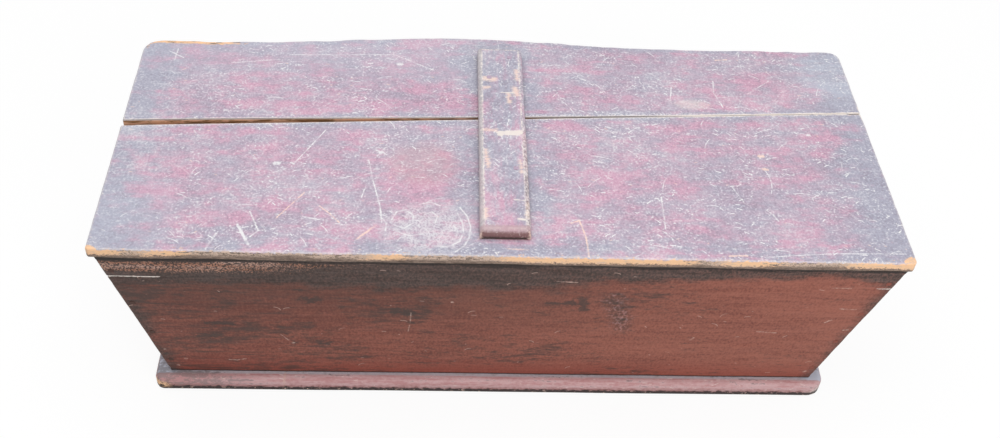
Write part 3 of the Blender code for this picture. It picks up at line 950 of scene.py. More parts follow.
class WallPaint(Finish):
    """Red-brown paint of the walls, sooty under the lid, with dark dashes along the grain, and a painted
    shadow line under the lid and at the foot.
    """

    CRACKS = (
        Stroke(0.0018, ((-0.510, 0.2350), (-0.429, 0.2352))),
        Stroke(0.0013, ((0.474, 0.2354), (0.510, 0.2362))),
    )
    SCRATCHES = (
        Stroke(0.0014, ((-0.292, 0.101), (-0.283, 0.087))),
        Stroke(0.0016, ((-0.368, 0.032), (-0.357, 0.031), (-0.345, 0.035))),
        Stroke(0.0012, ((-0.120, 0.160), (-0.121, 0.135), (-0.124, 0.112))),
        Stroke(0.0030, ((0.259, 0.102), (0.262, 0.107))),
        Stroke(0.0024, ((0.430, 0.152), (0.437, 0.158))),
        Stroke(0.0024, ((0.461, 0.133), (0.467, 0.134))),
        Stroke(0.0016, ((0.345, 0.126), (0.372, 0.123))),
        Stroke(0.0034, ((-0.440, 0.015), (-0.439, 0.015))),
        Stroke(0.0030, ((-0.427, 0.033), (-0.426, 0.033))),
        Stroke(0.0026, ((-0.451, 0.058), (-0.450, 0.058))),
        Stroke(0.0030, ((-0.278, 0.080), (-0.277, 0.080))),
        Stroke(0.0034, ((-0.068, 0.188), (-0.067, 0.188))),
        Stroke(0.0030, ((-0.136, 0.105), (-0.135, 0.105))),
        Stroke(0.0012, ((0.415, 0.2362), (0.440, 0.2360))),
        Stroke(0.0012, ((0.440, 0.187), (0.462, 0.186))),
        Stroke(0.0013, ((0.062, 0.240), (0.088, 0.239))),
        Stroke(0.0030, ((0.439, 0.017), (0.441, 0.019))),
    )
    DARK_KNOTS = (
        Stroke(0.010, ((-0.385, 0.129), (-0.352, 0.128))),
        Stroke(0.010, ((-0.398, 0.098), (-0.372, 0.098))),
        Stroke(0.012, ((-0.262, 0.190), (-0.236, 0.189))),
        Stroke(0.008, ((-0.275, 0.081), (-0.225, 0.081))),
        Stroke(0.016, ((-0.137, 0.163), (-0.118, 0.160))),
        Stroke(0.012, ((0.055, 0.187), (0.090, 0.190))),
        Stroke(0.014, ((0.099, 0.199), (0.104, 0.176))),
    )
    SMUDGE = (Stroke(0.026, ((0.140, 0.200), (0.160, 0.135))),)
    SPECKS = Nicks(cell=0.036, length=0.004, width=0.0010, turn=0.6, share=0.20, shift=2.0)
    CHIPS = Nicks(cell=0.024, length=0.006, width=0.0008, turn=0.9, share=0.22, bend=60.0, shift=9.0)
    CROWD = Cloud(8.0, 16.0, 4.0)
    THICK_DASHES = Cloud(34.0, 120.0, 6.0, 0.74)
    THIN_DASHES = Cloud(100.0, 290.0, 3.0, 0.66)
    LINES = Cloud(13.0, 190.0, 4.0, 0.7)
    SOOT_CLOUD = Cloud(11.0, 26.0, 6.0, 0.70)
    STREAK = Cloud(12.0, 125.0, 6.0, 0.76)
    BROAD_CLOUD = Cloud(4.0, 9.0, 4.0)
    WEAVE = Cloud(330.0, 200.0, 3.0, 0.65)
    SCAB = Cloud(420.0, 330.0, 4.0, 0.72)
    RAGGED = Cloud(90.0, 130.0, 5.0, 0.74)
    HATCH = Cloud(260.0, 170.0, 3.0, 0.6)
    HEIGHT = 0.277
    HALF_FOOT = 0.455

    def __init__(self, name: str, marked: bool) -> None:
        """Start the finish, with or without the front wall's own marks."""
        super().__init__(name)
        self.marked = marked

    def dashes(self) -> Wire:
        """Dark blots and dashes along the grain, in crowds that thin out towards the right.

        Returns:
            1 on a dash and 0 off it.
        """
        crowd = self.swing(self.CROWD) - self.along * 0.20
        thick = self.noise(self.THICK_DASHES)
        thin = self.noise(self.THIN_DASHES)
        lines = self.noise(self.LINES)
        broad = (thick + crowd * 0.60).rise(0.54, 0.70)
        lined = (lines - self.along * 0.30).rise(0.64, 0.76)
        return (broad * 0.95).most((thin + crowd * 0.5).rise(0.56, 0.72) * 0.75).most(lined * 0.9)

    def soot(self) -> Wire:
        """The dark band under the lid, deepest left of the middle, and the grimy slanted ends.

        Returns:
            How sooty a point is, from 0 to 1.
        """
        cloud = self.swing(self.SOOT_CLOUD)
        drop = self.HEIGHT - self.across
        deep = self.along.rise(0.30, 0.0) * 0.032 + 0.026
        band = (drop - deep - cloud * 0.12).rise(0.012, -0.018)
        slant = self.HALF_FOOT + self.across * FLARE_TAN
        ends = (abs(self.along) - slant + cloud * 0.07).rise(-0.030, 0.0)
        return band.most(ends * 0.85)

    def material(self) -> bpy.types.Material:
        """Lay the paint, soot, flecks and scratches, a painted shadow line under the lid and along the foot,
        and the bare inner face.

        Returns:
            The material.
        """
        graph = self.graph
        streak = self.noise(self.STREAK)
        cloud = self.noise(self.BROAD_CLOUD)
        weave = self.swing(self.WEAVE)
        warm = (cloud * 0.9 + (streak - 0.5) * 1.9 + weave * 2.2 + 0.08 + self.along * 0.60).within()
        paint = graph.mix(warm, OXIDE_RED, WARM_RED)
        paint = graph.mix(self.across.rise(0.060, 0.0) * 0.6, paint, BRIGHT_RED)
        murk = self.across.rise(0.06, 0.25) * self.along.rise(0.36, -0.10) * (cloud + 0.25)
        paint = graph.mix(murk * 0.75, paint, MURK)
        paint = graph.mix(self.dashes() * 0.8, paint, SOOT_AND_SHADE)
        soot = self.soot()
        char = graph.mix(((streak - 0.5) * 2.2 + weave * 2.6 + 0.42).within(), SOOT_AND_SHADE, CHAR)
        paint = graph.mix(soot * (weave * -0.9 + 0.88).within(), paint, char)
        scab = self.noise(self.SCAB)
        drop = self.HEIGHT - self.across + (streak - 0.5) * 0.020
        reach = self.along + scab * 0.14 + drop * 5.0
        ledge = drop.rise(0.0045, 0.0090) * drop.rise(0.038, 0.024) * reach.rise(0.03, -0.18)
        flecks = (scab + ledge * 0.13 - 0.04).rise(0.56, 0.64) * drop.rise(0.042, 0.032)
        fleck_tone = graph.mix(streak.rise(0.42, 0.70), RUSSET_FLECK, PALE_SCRATCH)
        paint = graph.mix(flecks * (ledge * 0.70 + 0.22), paint, fleck_tone)
        nicked = (self.nicks(self.SPECKS) * 0.5).most(self.nicks(self.CHIPS) * 0.7)
        paint = graph.mix(nicked, paint, PALE_SCRATCH)
        if self.marked:
            paint = self.front_marks(paint)
        rim = (self.edge + (scab - 0.5) * 0.006).rise(0.0022, 0.0006)
        paint = graph.mix(rim * 0.6, paint, GRIMY_WOOD)
        # Painted shadow: a black line on the wall top under the lid's overhang, and painted shade along the
        # foot where the wall meets the base.
        lines = (drop + scab * 0.008).rise(0.0110, 0.0070).most(self.across.rise(0.0045, 0.0015))
        paint = graph.mix(lines * 0.85, paint, NIGHT)
        paint = graph.mix(self.bare, paint, self.pine())
        grain = self.noise(self.OPEN_GRAIN)
        return graph.dress(paint, grain * 0.2 + 0.46 + soot * 0.12, grain * 0.22)

    def front_marks(self, paint: Wire) -> Wire:
        """Lay the front wall's own marks.

        Args:
            paint: the paint's colour.

        Returns:
            The colour with the marks over it.
        """
        graph = self.graph
        ragged = self.swing(self.RAGGED)
        knots = self.marks(self.DARK_KNOTS, ragged, 0.045, (0.002, -0.004))
        paint = graph.mix(knots * 0.75, paint, SOOT_AND_SHADE)
        smudge = self.marks(self.SMUDGE, ragged, 0.04, (0.010, -0.010))
        hatch = self.noise(self.HATCH)
        paint = graph.mix(smudge * hatch.rise(0.58, 0.40) * 0.6, paint, SOOT_AND_SHADE)
        paint = graph.mix(smudge * hatch.rise(0.46, 0.70) * 0.22, paint, DUST_GREY)
        lines = self.marks(self.SCRATCHES, ragged, 0.0060, (0.0007, -0.0006))
        paint = graph.mix(lines * (hatch.rise(0.40, 0.58) * 0.55 + 0.25), paint, PALE_SCRATCH)
        cracks = self.marks(self.CRACKS, ragged, 0.0026, (0.0006, -0.0004))
        return graph.mix(cracks, paint, CREAM)


class BasePaint(Finish):
    """Dusky pink paint of the base board: dusty on its ledge, worn and chipped along its nose."""

    CHIPS = (Stroke(0.0030, ((-0.295, 0.001), (-0.294, 0.012))),)
    SPECKS = Nicks(cell=0.009, length=0.004, width=0.0010, turn=0.5, share=0.40)
    STREAK = Cloud(10.0, 150.0, 6.0, 0.68)
    RAGGED = Cloud(120.0, 240.0, 4.0, 0.70)
    HALF_LENGTH = 0.4795

    def material(self) -> bpy.types.Material:
        """Lay the paint, the ledge's dust, the worn nose and the bare underside.

        Returns:
            The material.
        """
        graph = self.graph
        streak = self.noise(self.STREAK)
        ragged = self.swing(self.RAGGED)
        tone = (streak + ragged * 0.5).rise(0.36, 0.66)
        paint = graph.mix(tone, DUSKY_PINK, MAUVE)
        front = (self.across + ragged * 0.004).rise(0.0095, 0.0120)
        ends = (self.HALF_LENGTH - abs(self.along)).rise(0.0045, 0.0085)
        ledge = front * ends * self.through.rise(0.0190, 0.0235)
        dust = graph.mix((ragged * 3.0 + 0.3).within() * 0.5, DUST_GREY, GRIMY_WOOD)
        dust = graph.mix((abs(self.along) + ragged * 0.02).rise(0.436, 0.450), dust, PALE_BLUE)
        paint = graph.mix(ledge * 0.9, paint, dust)
        specks = graph.nicks(self.place * (1.0, 0.0, 0.0) + self.lifted(), self.SPECKS)
        paint = graph.mix(specks * 0.45, paint, CREAM)
        dirt = (streak + ragged * 0.9 + self.along.rise(-0.30, -0.43) * 0.20).rise(0.60, 0.74)
        paint = graph.mix(dirt * 0.55, paint, CHAR)
        chips = self.marks(self.CHIPS, ragged, 0.004, (0.0008, -0.0008))
        paint = graph.mix(chips * 0.5, paint, PALE_SCRATCH)
        low = self.through + ragged * 0.016
        paint = graph.mix(low.rise(0.0160, 0.0090) * 0.45, paint, OXIDE_RED)
        foot = graph.mix(ragged.rise(0.08, 0.15), NIGHT, TAN_WOOD)
        paint = graph.mix(low.rise(0.0110, 0.0080) * 0.95, paint, foot)
        end = (abs(self.along) + ragged * 0.05).rise(0.446, 0.462)
        corner = end * low.rise(0.0190, 0.0140) * low.rise(0.0050, 0.0080)
        fresh = graph.mix(ragged.rise(-0.02, 0.08), FRESH_WOOD, SOOT_AND_SHADE)
        paint = graph.mix(corner * self.along.rise(0.1, -0.1), paint, fresh)
        paint = graph.mix(corner * self.along.rise(-0.1, 0.1) * 0.35, paint, CREAM)
        paint = graph.mix(self.bare, paint, self.pine())
        grain = self.noise(self.OPEN_GRAIN)
        return graph.dress(paint, grain * 0.18 + 0.48, grain * 0.18)

    def lifted(self) -> Wire:
        """The height above the floor, laid out as a second direction on the flat."""
        return self.graph.node("ShaderNodeCombineXYZ", {}, {"Y": self.through + self.across})


class BarePine(Finish):
    """Bare pine that was never painted."""

    def material(self) -> bpy.types.Material:
        """Lay the wood and its open grain."""
        grain = self.noise(self.OPEN_GRAIN)
        return self.graph.dress(self.pine(), grain * 0.15 + 0.62, grain * 0.3)


@dataclass(frozen=True)
class NailIron:
    """Iron of a nail: rusty where it is bare, or with paint left on a share of its head."""

    name: str
    paint: Colour
    cover: float

    BLOOM = Cloud(900.0, 900.0, 4.0)
    FLAKES = Cloud(420.0, 420.0)
    METAL = 0.2

    def material(self) -> bpy.types.Material:
        """Lay black iron, rust and what is left of the paint.

        Returns:
            The material.
        """
        graph = Graph(bpy.data.materials.new(self.name))
        place = graph.node("ShaderNodeTexCoord", {}, {}, "Object")
        bloom = graph.noise(place, self.BLOOM)
        iron = graph.mix(bloom.rise(0.4, 0.6), IRON_BLACK, RUST)
        low, high = (bound - self.cover * 0.4 for bound in (0.62, 0.72))
        left = graph.noise(place, self.FLAKES).rise(low, high)
        colour = graph.mix(left * min(1.0, self.cover * 2.0), iron, self.paint)
        return graph.dress(colour, bloom * 0.2 + 0.6, bloom * 0.2, self.METAL)


@dataclass(frozen=True)
class Ripple:
    """A smooth random field over a board, with longer waves along the grain than across it."""

    seed: int
    along: float
    across: float
    waves: int = 26

    def at(self, points: np.ndarray) -> np.ndarray:
        """The field at some points.

        Args:
            points: places in a board's own axes, one to a row.

        Returns:
            A value from 0 to 1 for each.
        """
        draw = np.random.default_rng(self.seed)
        pitch = draw.normal(size=(self.waves, 2)) * 2 * math.pi / (self.along, self.across)
        start = draw.uniform(0, 2 * math.pi, self.waves)
        total = np.zeros(len(points))
        for (along, across), phase in zip(pitch, start):
            total += np.cos(points[:, 0] * along + points[:, 1] * across + phase)
        return 0.5 + 0.5 * np.tanh(total / math.sqrt(self.waves))


class Lattice:
    """The outside of a block of lattice points, as quads, with a flat map of its six sides."""

    MAP_ROOM = {
        "top": (0.00, 0.00, 1.00, 0.58),
        "bottom": (0.00, 0.59, 1.00, 0.84),
        "front": (0.00, 0.85, 1.00, 0.88),
        "back": (0.00, 0.89, 1.00, 0.92),
        "left": (0.00, 0.93, 0.49, 1.00),
        "right": (0.51, 0.93, 1.00, 1.00),
    }

    def __init__(self, lines: Sequence[np.ndarray]) -> None:
        """Number the outer points where the lines of the three axes cross.

        Args:
            lines: where the lines lie along each axis, from 0.
        """
        count = [len(line) for line in lines]
        inside = np.zeros(count, bool)
        inside[1:-1, 1:-1, 1:-1] = True
        number = np.full(count, -1)
        number[~inside] = np.arange(np.count_nonzero(~inside))
        self.points = np.stack([line[at] for line, at in zip(lines, np.nonzero(~inside))], axis=1)
        self.faces: list[np.ndarray] = []
        self.map: list[np.ndarray] = []
        x, y, z = (line / line[-1] for line in lines)
        self._add_side("top", number[:, :, -1], x, y, False)
        self._add_side("bottom", number[:, :, 0], x, y, True)
        self._add_side("front", number[:, 0, :], x, z, False)
        self._add_side("back", number[:, -1, :], x, z, True)
        self._add_side("left", number[0, :, :], y, z, True)
        self._add_side("right", number[-1, :, :], y, z, False)

    def _add_side(self, side: str, grid: np.ndarray, u: np.ndarray, v: np.ndarray, turned: bool) -> None:
        """Add the quads of one side.

        Args:
            side: the side's name.
            grid: the numbers of its points, in rows.
            u: where its rows lie, from 0 to 1.
            v: where its columns lie, from 0 to 1.
            turned: whether its quads run the other way round to face out.
        """
        low_u, low_v, high_u, high_v = self.MAP_ROOM[side]
        map_u = low_u + u * (high_u - low_u)
        map_v = low_v + v * (high_v - low_v)
        flat = np.stack(np.meshgrid(map_u, map_v, indexing="ij"), -1)
        ring = [np.s_[:-1, :-1], np.s_[1:, :-1], np.s_[1:, 1:], np.s_[:-1, 1:]]
        if turned:
            ring.reverse()
        self.faces.append(np.stack([grid[cut] for cut in ring], -1).reshape(-1, 4))
        self.map.append(np.stack([flat[cut] for cut in ring], -2).reshape(-1, 2))

    def mesh(self, name: str, places: np.ndarray) -> bpy.types.Mesh:
        """Make the lattice's mesh.

        Args:
            name: its name.
            places: where its points have moved to.

        Returns:
            The mesh.
        """
        made = bpy.data.meshes.new(name)
        made.from_pydata(places.tolist(), [], np.concatenate(self.faces).tolist())
        flat = made.uv_layers.new(name=BAKE_MAP)
        flat.data.foreach_set("uv", np.concatenate(self.map).astype(np.float32).ravel())
        return made


def put(name: str, data: bpy.types.ID) -> bpy.types.Object:
    """Place a new object in the scene.

    Args:
        name: its name.
        data: its mesh, lamp or camera.

    Returns:
        The object.
    """
    made = bpy.data.objects.new(name, data)
    bpy.context.scene.collection.objects.link(made)
    return made


@dataclass
class Board:
    """One board, worked in its own axes: x along the grain, y across it, z through it, all from 0.

    Its top is the side at full thickness. Sizes are in metres. The points that its methods take are
    places in its own axes, one to a row.
    """

    node: str
    body: Body
    slot: Slot
    seed: int
    length: float
    width: float
    thickness: float
    along_pitch: float = 0.005
    across_pitch: float = 0.0026
    edge_round: float = 0.0022
    edge_wear: float = 0.0016
    grain_depth: float = 0.00022
    dent_count: int = 60
    dents_at: list[Place] = field(default_factory=list)

    EDGE_LINES = (0.0, 0.10, 0.22, 0.36, 0.52, 0.70, 0.90, 1.15)
    DENT_LINES = (-0.0052, -0.0036, -0.002, 0.0, 0.002, 0.0036, 0.0052)
    EDGE_LIMIT = 2.6
    LEAST_STEP = 1e-5
    LAYERS = 6
    ROUND_LIMIT = 0.6
    SHORT_WEAR = 0.05
    LONG_WEAR = 0.4
    GRAIN_WAVES = (0.25, 0.006)
    WARP_WAVES = (0.5, 0.08)
    DENT_REACH = (0.003, 0.009)
    DENT_STRETCH = (1.0, 2.5)
    DENT_MILLIMETRES = (0.1, 0.5)
    NAIL_DENT_RADIUS = 0.0042
    NAIL_DENT_DEPTH = 0.0009
    NAIL_DENT_RIM = 2.4
    NAIL_DENT_SLOPE = 2

    @property
    def size(self) -> np.ndarray:
        """The board's three sizes."""
        return np.array((self.length, self.width, self.thickness))

    def most_round(self) -> float:
        """The largest radius that an edge can wear to."""
        return self.edge_round + self.edge_wear

    def lines(self, size: float, pitch: float, fine: Sequence[float]) -> np.ndarray:
        """Where the lattice's lines lie along one axis.

        Args:
            size: the board's size along it.
            pitch: how far apart the lines lie away from the edges.
            fine: further places that need a line.

        Returns:
            The places, in order: closer together near both edges.
        """
        near = np.array(self.EDGE_LINES) * min(self.most_round(), size / self.EDGE_LIMIT)
        count = max(2, round((size - 2 * near[-1]) / pitch) + 1)
        inner = np.linspace(near[-1], size - near[-1], count)
        places = np.sort(np.concatenate((near, inner, size - near, [p for p in fine if 0 < p < size])))
        return places[np.concatenate(([True], np.diff(places) > self.LEAST_STEP))]

    def fine_lines(self, axis: int) -> list[float]:
        """Further lattice lines along one axis, about each nail."""
        return [place[axis] + step for place in self.dents_at for step in self.DENT_LINES]

    def rounding(self, points: np.ndarray) -> np.ndarray:
        """The radius that each point's nearest edge has worn to.

        Args:
            points: places on the board.

        Returns:
            A radius for each.
        """
        short = Ripple(self.seed + 1, self.SHORT_WEAR, self.SHORT_WEAR).at(points)
        long = Ripple(self.seed + 2, self.LONG_WEAR, self.LONG_WEAR).at(points)
        return self.edge_round + self.edge_wear * (short * long)

    def rounded(self, points: np.ndarray) -> np.ndarray:
        """Round off every edge of the block.

        Args:
            points: places on the sawn board.

        Returns:
            The places that they move to.
        """
        radius = np.minimum(self.rounding(points), self.thickness * self.ROUND_LIMIT)[:, None]
        core = np.clip(points, radius, self.size - radius)
        out = points - core
        return core + out * radius / np.linalg.norm(out, axis=1, keepdims=True)

    def nail_dents(self, points: np.ndarray, nails: Sequence[Place]) -> np.ndarray:
        """How deep the wood is pressed in about set nails.

        Args:
            points: places on the board.
            nails: where the nails lie, along and across.

        Returns:
            A depth for each point.
        """
        depth = np.zeros(len(points))
        for place in nails:
            off = np.linalg.norm(points[:, :2] - place, axis=1) / self.NAIL_DENT_RADIUS
            pressed = np.clip(self.NAIL_DENT_RIM - self.NAIL_DENT_SLOPE * off, 0.0, 1.0)
            depth += self.NAIL_DENT_DEPTH * pressed
        return depth

    def relief(self, points: np.ndarray) -> np.ndarray:
        """How deep the surface lies below the rounded board: grain, dents and set nails.

        Args:
            points: places on the board.

        Returns:
            A depth for each.
        """
        draw = np.random.default_rng(self.seed)
        depth = self.grain_depth * Ripple(self.seed + 3, *self.GRAIN_WAVES).at(points)
        depth += 2 * self.grain_depth * Ripple(self.seed + 4, *self.WARP_WAVES).at(points)
        top = points[:, 2] > self.thickness / 2
        for _ in range(self.dent_count):
            middle = draw.uniform((0.0, 0.0), (self.length, self.width))
            reach = draw.uniform(*self.DENT_REACH) * np.array((draw.uniform(*self.DENT_STRETCH), 1.0))
            off = np.sum(((points[:, :2] - middle) / reach) ** 2, axis=1)
            depth += top * draw.uniform(*self.DENT_MILLIMETRES) * MILLIMETRE * np.exp(-off)
        return depth + top * self.nail_dents(points, self.dents_at)

    def placed(self, points: np.ndarray) -> np.ndarray:
        """The points in the frame."""
        raise NotImplementedError

    def grain(self, points: np.ndarray) -> np.ndarray:
        """Where each point lies for the finish: along, across and through the board."""
        return points

    def bare(self, points: np.ndarray) -> np.ndarray:
        """How far each point was never painted."""
        return np.zeros(len(points))

    def build(self, material: bpy.types.Material) -> bpy.types.Object:
        """Make the board's piece, in place of its node.

        Args:
            material: its finish.

        Returns:
            The piece.
        """
        axes = (
            self.lines(self.length, self.along_pitch, self.fine_lines(0)),
            self.lines(self.width, self.across_pitch, self.fine_lines(1)),
            self.lines(self.thickness, self.thickness / self.LAYERS, ()),
        )
        lattice = Lattice(axes)
        raw = lattice.points
        points = self.rounded(raw)
        mesh = lattice.mesh("worn_" + self.node, self.placed(points))
        normals = np.zeros(len(raw) * 3, np.float32)
        mesh.vertex_normals.foreach_get("vector", normals)
        places = self.placed(points) - normals.reshape(-1, 3) * self.relief(points)[:, None]
        mesh.vertices.foreach_set("co", places.astype(np.float32).ravel())
        edge = np.sort(np.minimum(raw, self.size - raw), axis=1)[:, 1]
        self._tell(mesh, GRAIN, self.grain(points))
        self._tell(mesh, WEAR, np.stack((edge, self.bare(raw), np.zeros(len(raw))), axis=1))
        mesh.shade_smooth()
        mesh.materials.append(material)
        piece = put(mesh.name, mesh)
        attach(piece, self.body.value)
        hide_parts(self.node)
        LOG.info("%s: %d quads on %s", piece.name, len(mesh.polygons), self.body.value)
        return piece

    @staticmethod
    def _tell(mesh: bpy.types.Mesh, name: str, values: np.ndarray) -> None:
        """Write three numbers for each point of a mesh."""
        told = mesh.attributes.new(name, "FLOAT_VECTOR", "POINT")
        told.data.foreach_set("vector", values.astype(np.float32).ravel())


@dataclass(frozen=True)
class LidOutline:
    """The lid's plan: distances from its front edge, against x from its middle."""

    half_length: float
    left_depth: float = 0.41819
    runout: float = 0.020
    bulge: float = 0.017
    bulge_middle: float = -0.06
    bulge_half_width: float = 0.33
    front_left_width: float = 0.2285
    front_right_width: float = 0.2935
    gap_left: float = 0.0095
    gap_right: float = 0.0007
    gap_span: float = 0.78
    front_hollow: float = 0.0011
    back_hollow: float = 0.0022

    FRONT_RIPPLE = Ripple(41, 0.16, 1.0)
    BACK_RIPPLE = Ripple(43, 0.09, 1.0)

    def share(self, x: np.ndarray) -> np.ndarray:
        """How far along the lid, from 0 at the left end to 1 at the right."""
        return (x + self.half_length) / (2 * self.half_length)

    def front(self, x: np.ndarray) -> np.ndarray:
        """The front edge, rubbed a little hollow here and there."""
        return self.front_hollow * self.FRONT_RIPPLE.at(np.stack((x, x * 0), axis=1))

    def seam_front(self, x: np.ndarray) -> np.ndarray:
        """The back edge of the front board."""
        return self.front_left_width + (self.front_right_width - self.front_left_width) * self.share(x)

    def seam_back(self, x: np.ndarray) -> np.ndarray:
        """The front edge of the back board: the seam is open at the left and shut at the right."""
        shut = 0.5 + 0.5 * np.cos(math.pi * np.clip(self.share(x) / self.gap_span, 0.0, 1.0))
        return self.seam_front(x) + self.gap_right + (self.gap_left - self.gap_right) * shut

    def back(self, x: np.ndarray) -> np.ndarray:
        """The uneven back edge.

        Args:
            x: distances from the lid's middle.

        Returns:
            The edge's distance from the front at each.
        """
        off = np.clip(np.abs(x - self.bulge_middle) / self.bulge_half_width, 0.0, 1.0)
        swell = self.bulge * (0.5 + 0.5 * np.cos(math.pi * off))
        rough = self.back_hollow * self.BACK_RIPPLE.at(np.stack((x, x * 0), axis=1))
        return self.left_depth + self.runout * self.share(x) + swell - rough


@dataclass(kw_only=True)
class LidBoard(Board):
    """One of the lid's two tapered boards."""

    row: LidRow
    outline: LidOutline
    front_y: float
    low_z: float
    left_radius: float = 0.005
    right_radius: float = 0.007
    seam_radius: float = 0.0012
    worn_end: float = 0.02

    BARE_FOOT = 0.02
    BARE_SEAM = 0.9

    def from_seam(self, points: np.ndarray) -> np.ndarray:
        """How far each point lies from the seam, across the board."""
        return self.width - points[:, 1] if self.row is LidRow.FRONT else points[:, 1]

    def rounding(self, points: np.ndarray) -> np.ndarray:
        """The worn radius: small along the seam, large at the outer corners.

        Args:
            points: places on the board.

        Returns:
            A radius for each.
        """
        seam = self.from_seam(points) < self.width / 2
        ends = np.minimum(points[:, 0], self.length - points[:, 0])
        return np.where(seam & (ends > self.worn_end), self.seam_radius, super().rounding(points))

    def rounded(self, points: np.ndarray) -> np.ndarray:
        """Round off the edges, and the two outer corners in plan.

        Args:
            points: places on the sawn board.

        Returns:
            The places that they move to.
        """
        done = super().rounded(points)
        outer_y = 0.0 if self.row is LidRow.FRONT else self.width
        for end_x, radius in ((0.0, self.left_radius), (self.length, self.right_radius)):
            done = round_corner(done, (end_x, outer_y), radius)
        return done

    def placed(self, points: np.ndarray) -> np.ndarray:
        """Place the points in the frame, between the board's two edges.

        Args:
            points: places on the board.

        Returns:
            Their places in the frame.
        """
        x = points[:, 0] - self.length / 2
        if self.row is LidRow.FRONT:
            near, far = self.outline.front(x), self.outline.seam_front(x)
        else:
            near, far = self.outline.seam_back(x), self.outline.back(x)
        y = self.front_y + near + (far - near) * points[:, 1] / self.width
        return np.stack((x, y, self.low_z + points[:, 2]), axis=1)

    def grain(self, points: np.ndarray) -> np.ndarray:
        """Along the lid from its middle, back from its front edge, and up from its underside."""
        return self.placed(points) - (0.0, self.front_y, self.low_z)

    def bare(self, points: np.ndarray) -> np.ndarray:
        """The underside and the seam are bare.

        Args:
            points: places on the sawn board.

        Returns:
            1 for each bare one and 0 for each painted one.
        """
        seam = self.from_seam(points) < ON_FACE
        low = points[:, 2] < self.thickness * self.BARE_FOOT
        return (low | (seam & (points[:, 2] < self.thickness * self.BARE_SEAM))).astype(float)


def round_corner(points: np.ndarray, corner: Place, radius: float) -> np.ndarray:
    """Draw the corner of a board's plan in to an arc.

    Args:
        points: places in the board's own axes.
        corner: the sharp corner.
        radius: the arc's radius.

    Returns:
        The places, moved where they lie within the radius of both edges.
    """
    inward = np.where(np.array(corner) > 0.0, -1.0, 1.0)
    deep = radius - (points[:, :2] - corner) * inward
    close = (deep > 0.0).all(axis=1)
    drawn = deep * np.sqrt(np.clip(1.0 - deep[:, ::-1] ** 2 / (2 * radius**2), 0.0, 1.0))
    moved = points.copy()
    moved[close, :2] = corner + (radius - drawn[close]) * inward
    return moved


@dataclass
class Lid:
    """The loose lid: two boards, a batten across the top and two cleats below."""

    low: Vector
    high: Vector
    front_width: float = 0.261
    back_width: float = 0.172
    along_pitch: float = 0.0042
    back_left_radius: float = 0.026
    back_right_radius: float = 0.020

    FRONT_SEED = 100
    BACK_SEED = 200
    BATTEN_SEED = 300
    CLEAT_SEEDS = {"left_cleat": 410, "right_cleat": 411}

    @classmethod
    def from_frame(cls) -> "Lid":
        """The lid at its front board's place."""
        return cls(*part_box(LidRow.FRONT.value))

    def boards(self) -> list[LidBoard]:
        """The lid's boards.

        Returns:
            The front board and the back board.
        """
        shared = {
            "body": Body.LID,
            "slot": Slot.LID,
            "length": 2 * self.high.x,
            "thickness": self.high.z - self.low.z,
            "outline": LidOutline(half_length=self.high.x),
            "front_y": self.low.y,
            "low_z": self.low.z,
            "along_pitch": self.along_pitch,
        }
        corners = {"left_radius": self.back_left_radius, "right_radius": self.back_right_radius}
        front = {"row": LidRow.FRONT, "seed": self.FRONT_SEED, "width": self.front_width}
        back = {"row": LidRow.BACK, "seed": self.BACK_SEED, "width": self.back_width, **corners}
        return [LidBoard(own["row"].value, **own, **shared) for own in (front, back)]

    def build(self, paint: bpy.types.Material, batten: bpy.types.Material, wood: bpy.types.Material) -> None:
        """Make the lid's pieces.

        Args:
            paint: the finish of its two boards.
            batten: the finish of its batten.
            wood: the finish of its cleats.
        """
        for board in self.boards():
            board.build(paint)
        Batten.from_frame("top_batten", Slot.LID, self.BATTEN_SEED).build(batten)
        for node, seed in self.CLEAT_SEEDS.items():
            Cleat.from_frame(node, Slot.WOOD, seed).build(wood)


@dataclass(kw_only=True)
class CrossBar(Board):
    """A bar across the lid: its grain runs from front to back."""

    low: Vector
    skew: float = 0.0

    @classmethod
    def from_frame(cls, node: str, slot: Slot, seed: int) -> "CrossBar":
        """Take a bar's size and place from the frame.

        Args:
            node: the bar's node.
            slot: its material slot.
            seed: what its wear is drawn from.

        Returns:
            The bar.
        """
        low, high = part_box(node)
        size = (high.y - low.y, high.x - low.x, high.z - low.z)
        return cls(node, Body.LID, slot, seed, *size, low=low)

    def own(self, place: Vector) -> Place:
        """A place of the frame in the bar's own axes."""
        along = place.y - self.low.y
        return along, self.low.x + self.width - place.x + self.skew * (self.length / 2 - along)

    def nails(self, name: str, count: int, outward: Vector) -> list[Place]:
        """Where the heads of the bar's nails lie in its own axes, for nails of a name and a number."""
        return [self.own(nail_head(f"{name}_{number}", outward)) for number in range(1, count + 1)]

    def placed(self, points: np.ndarray) -> np.ndarray:
        """The points in the frame, with y of the bar to the left."""
        x = self.low.x + self.width - points[:, 1] + self.skew * (self.length / 2 - points[:, 0])
        return np.stack((x, self.low.y + points[:, 0], self.low.z + points[:, 2]), axis=1)


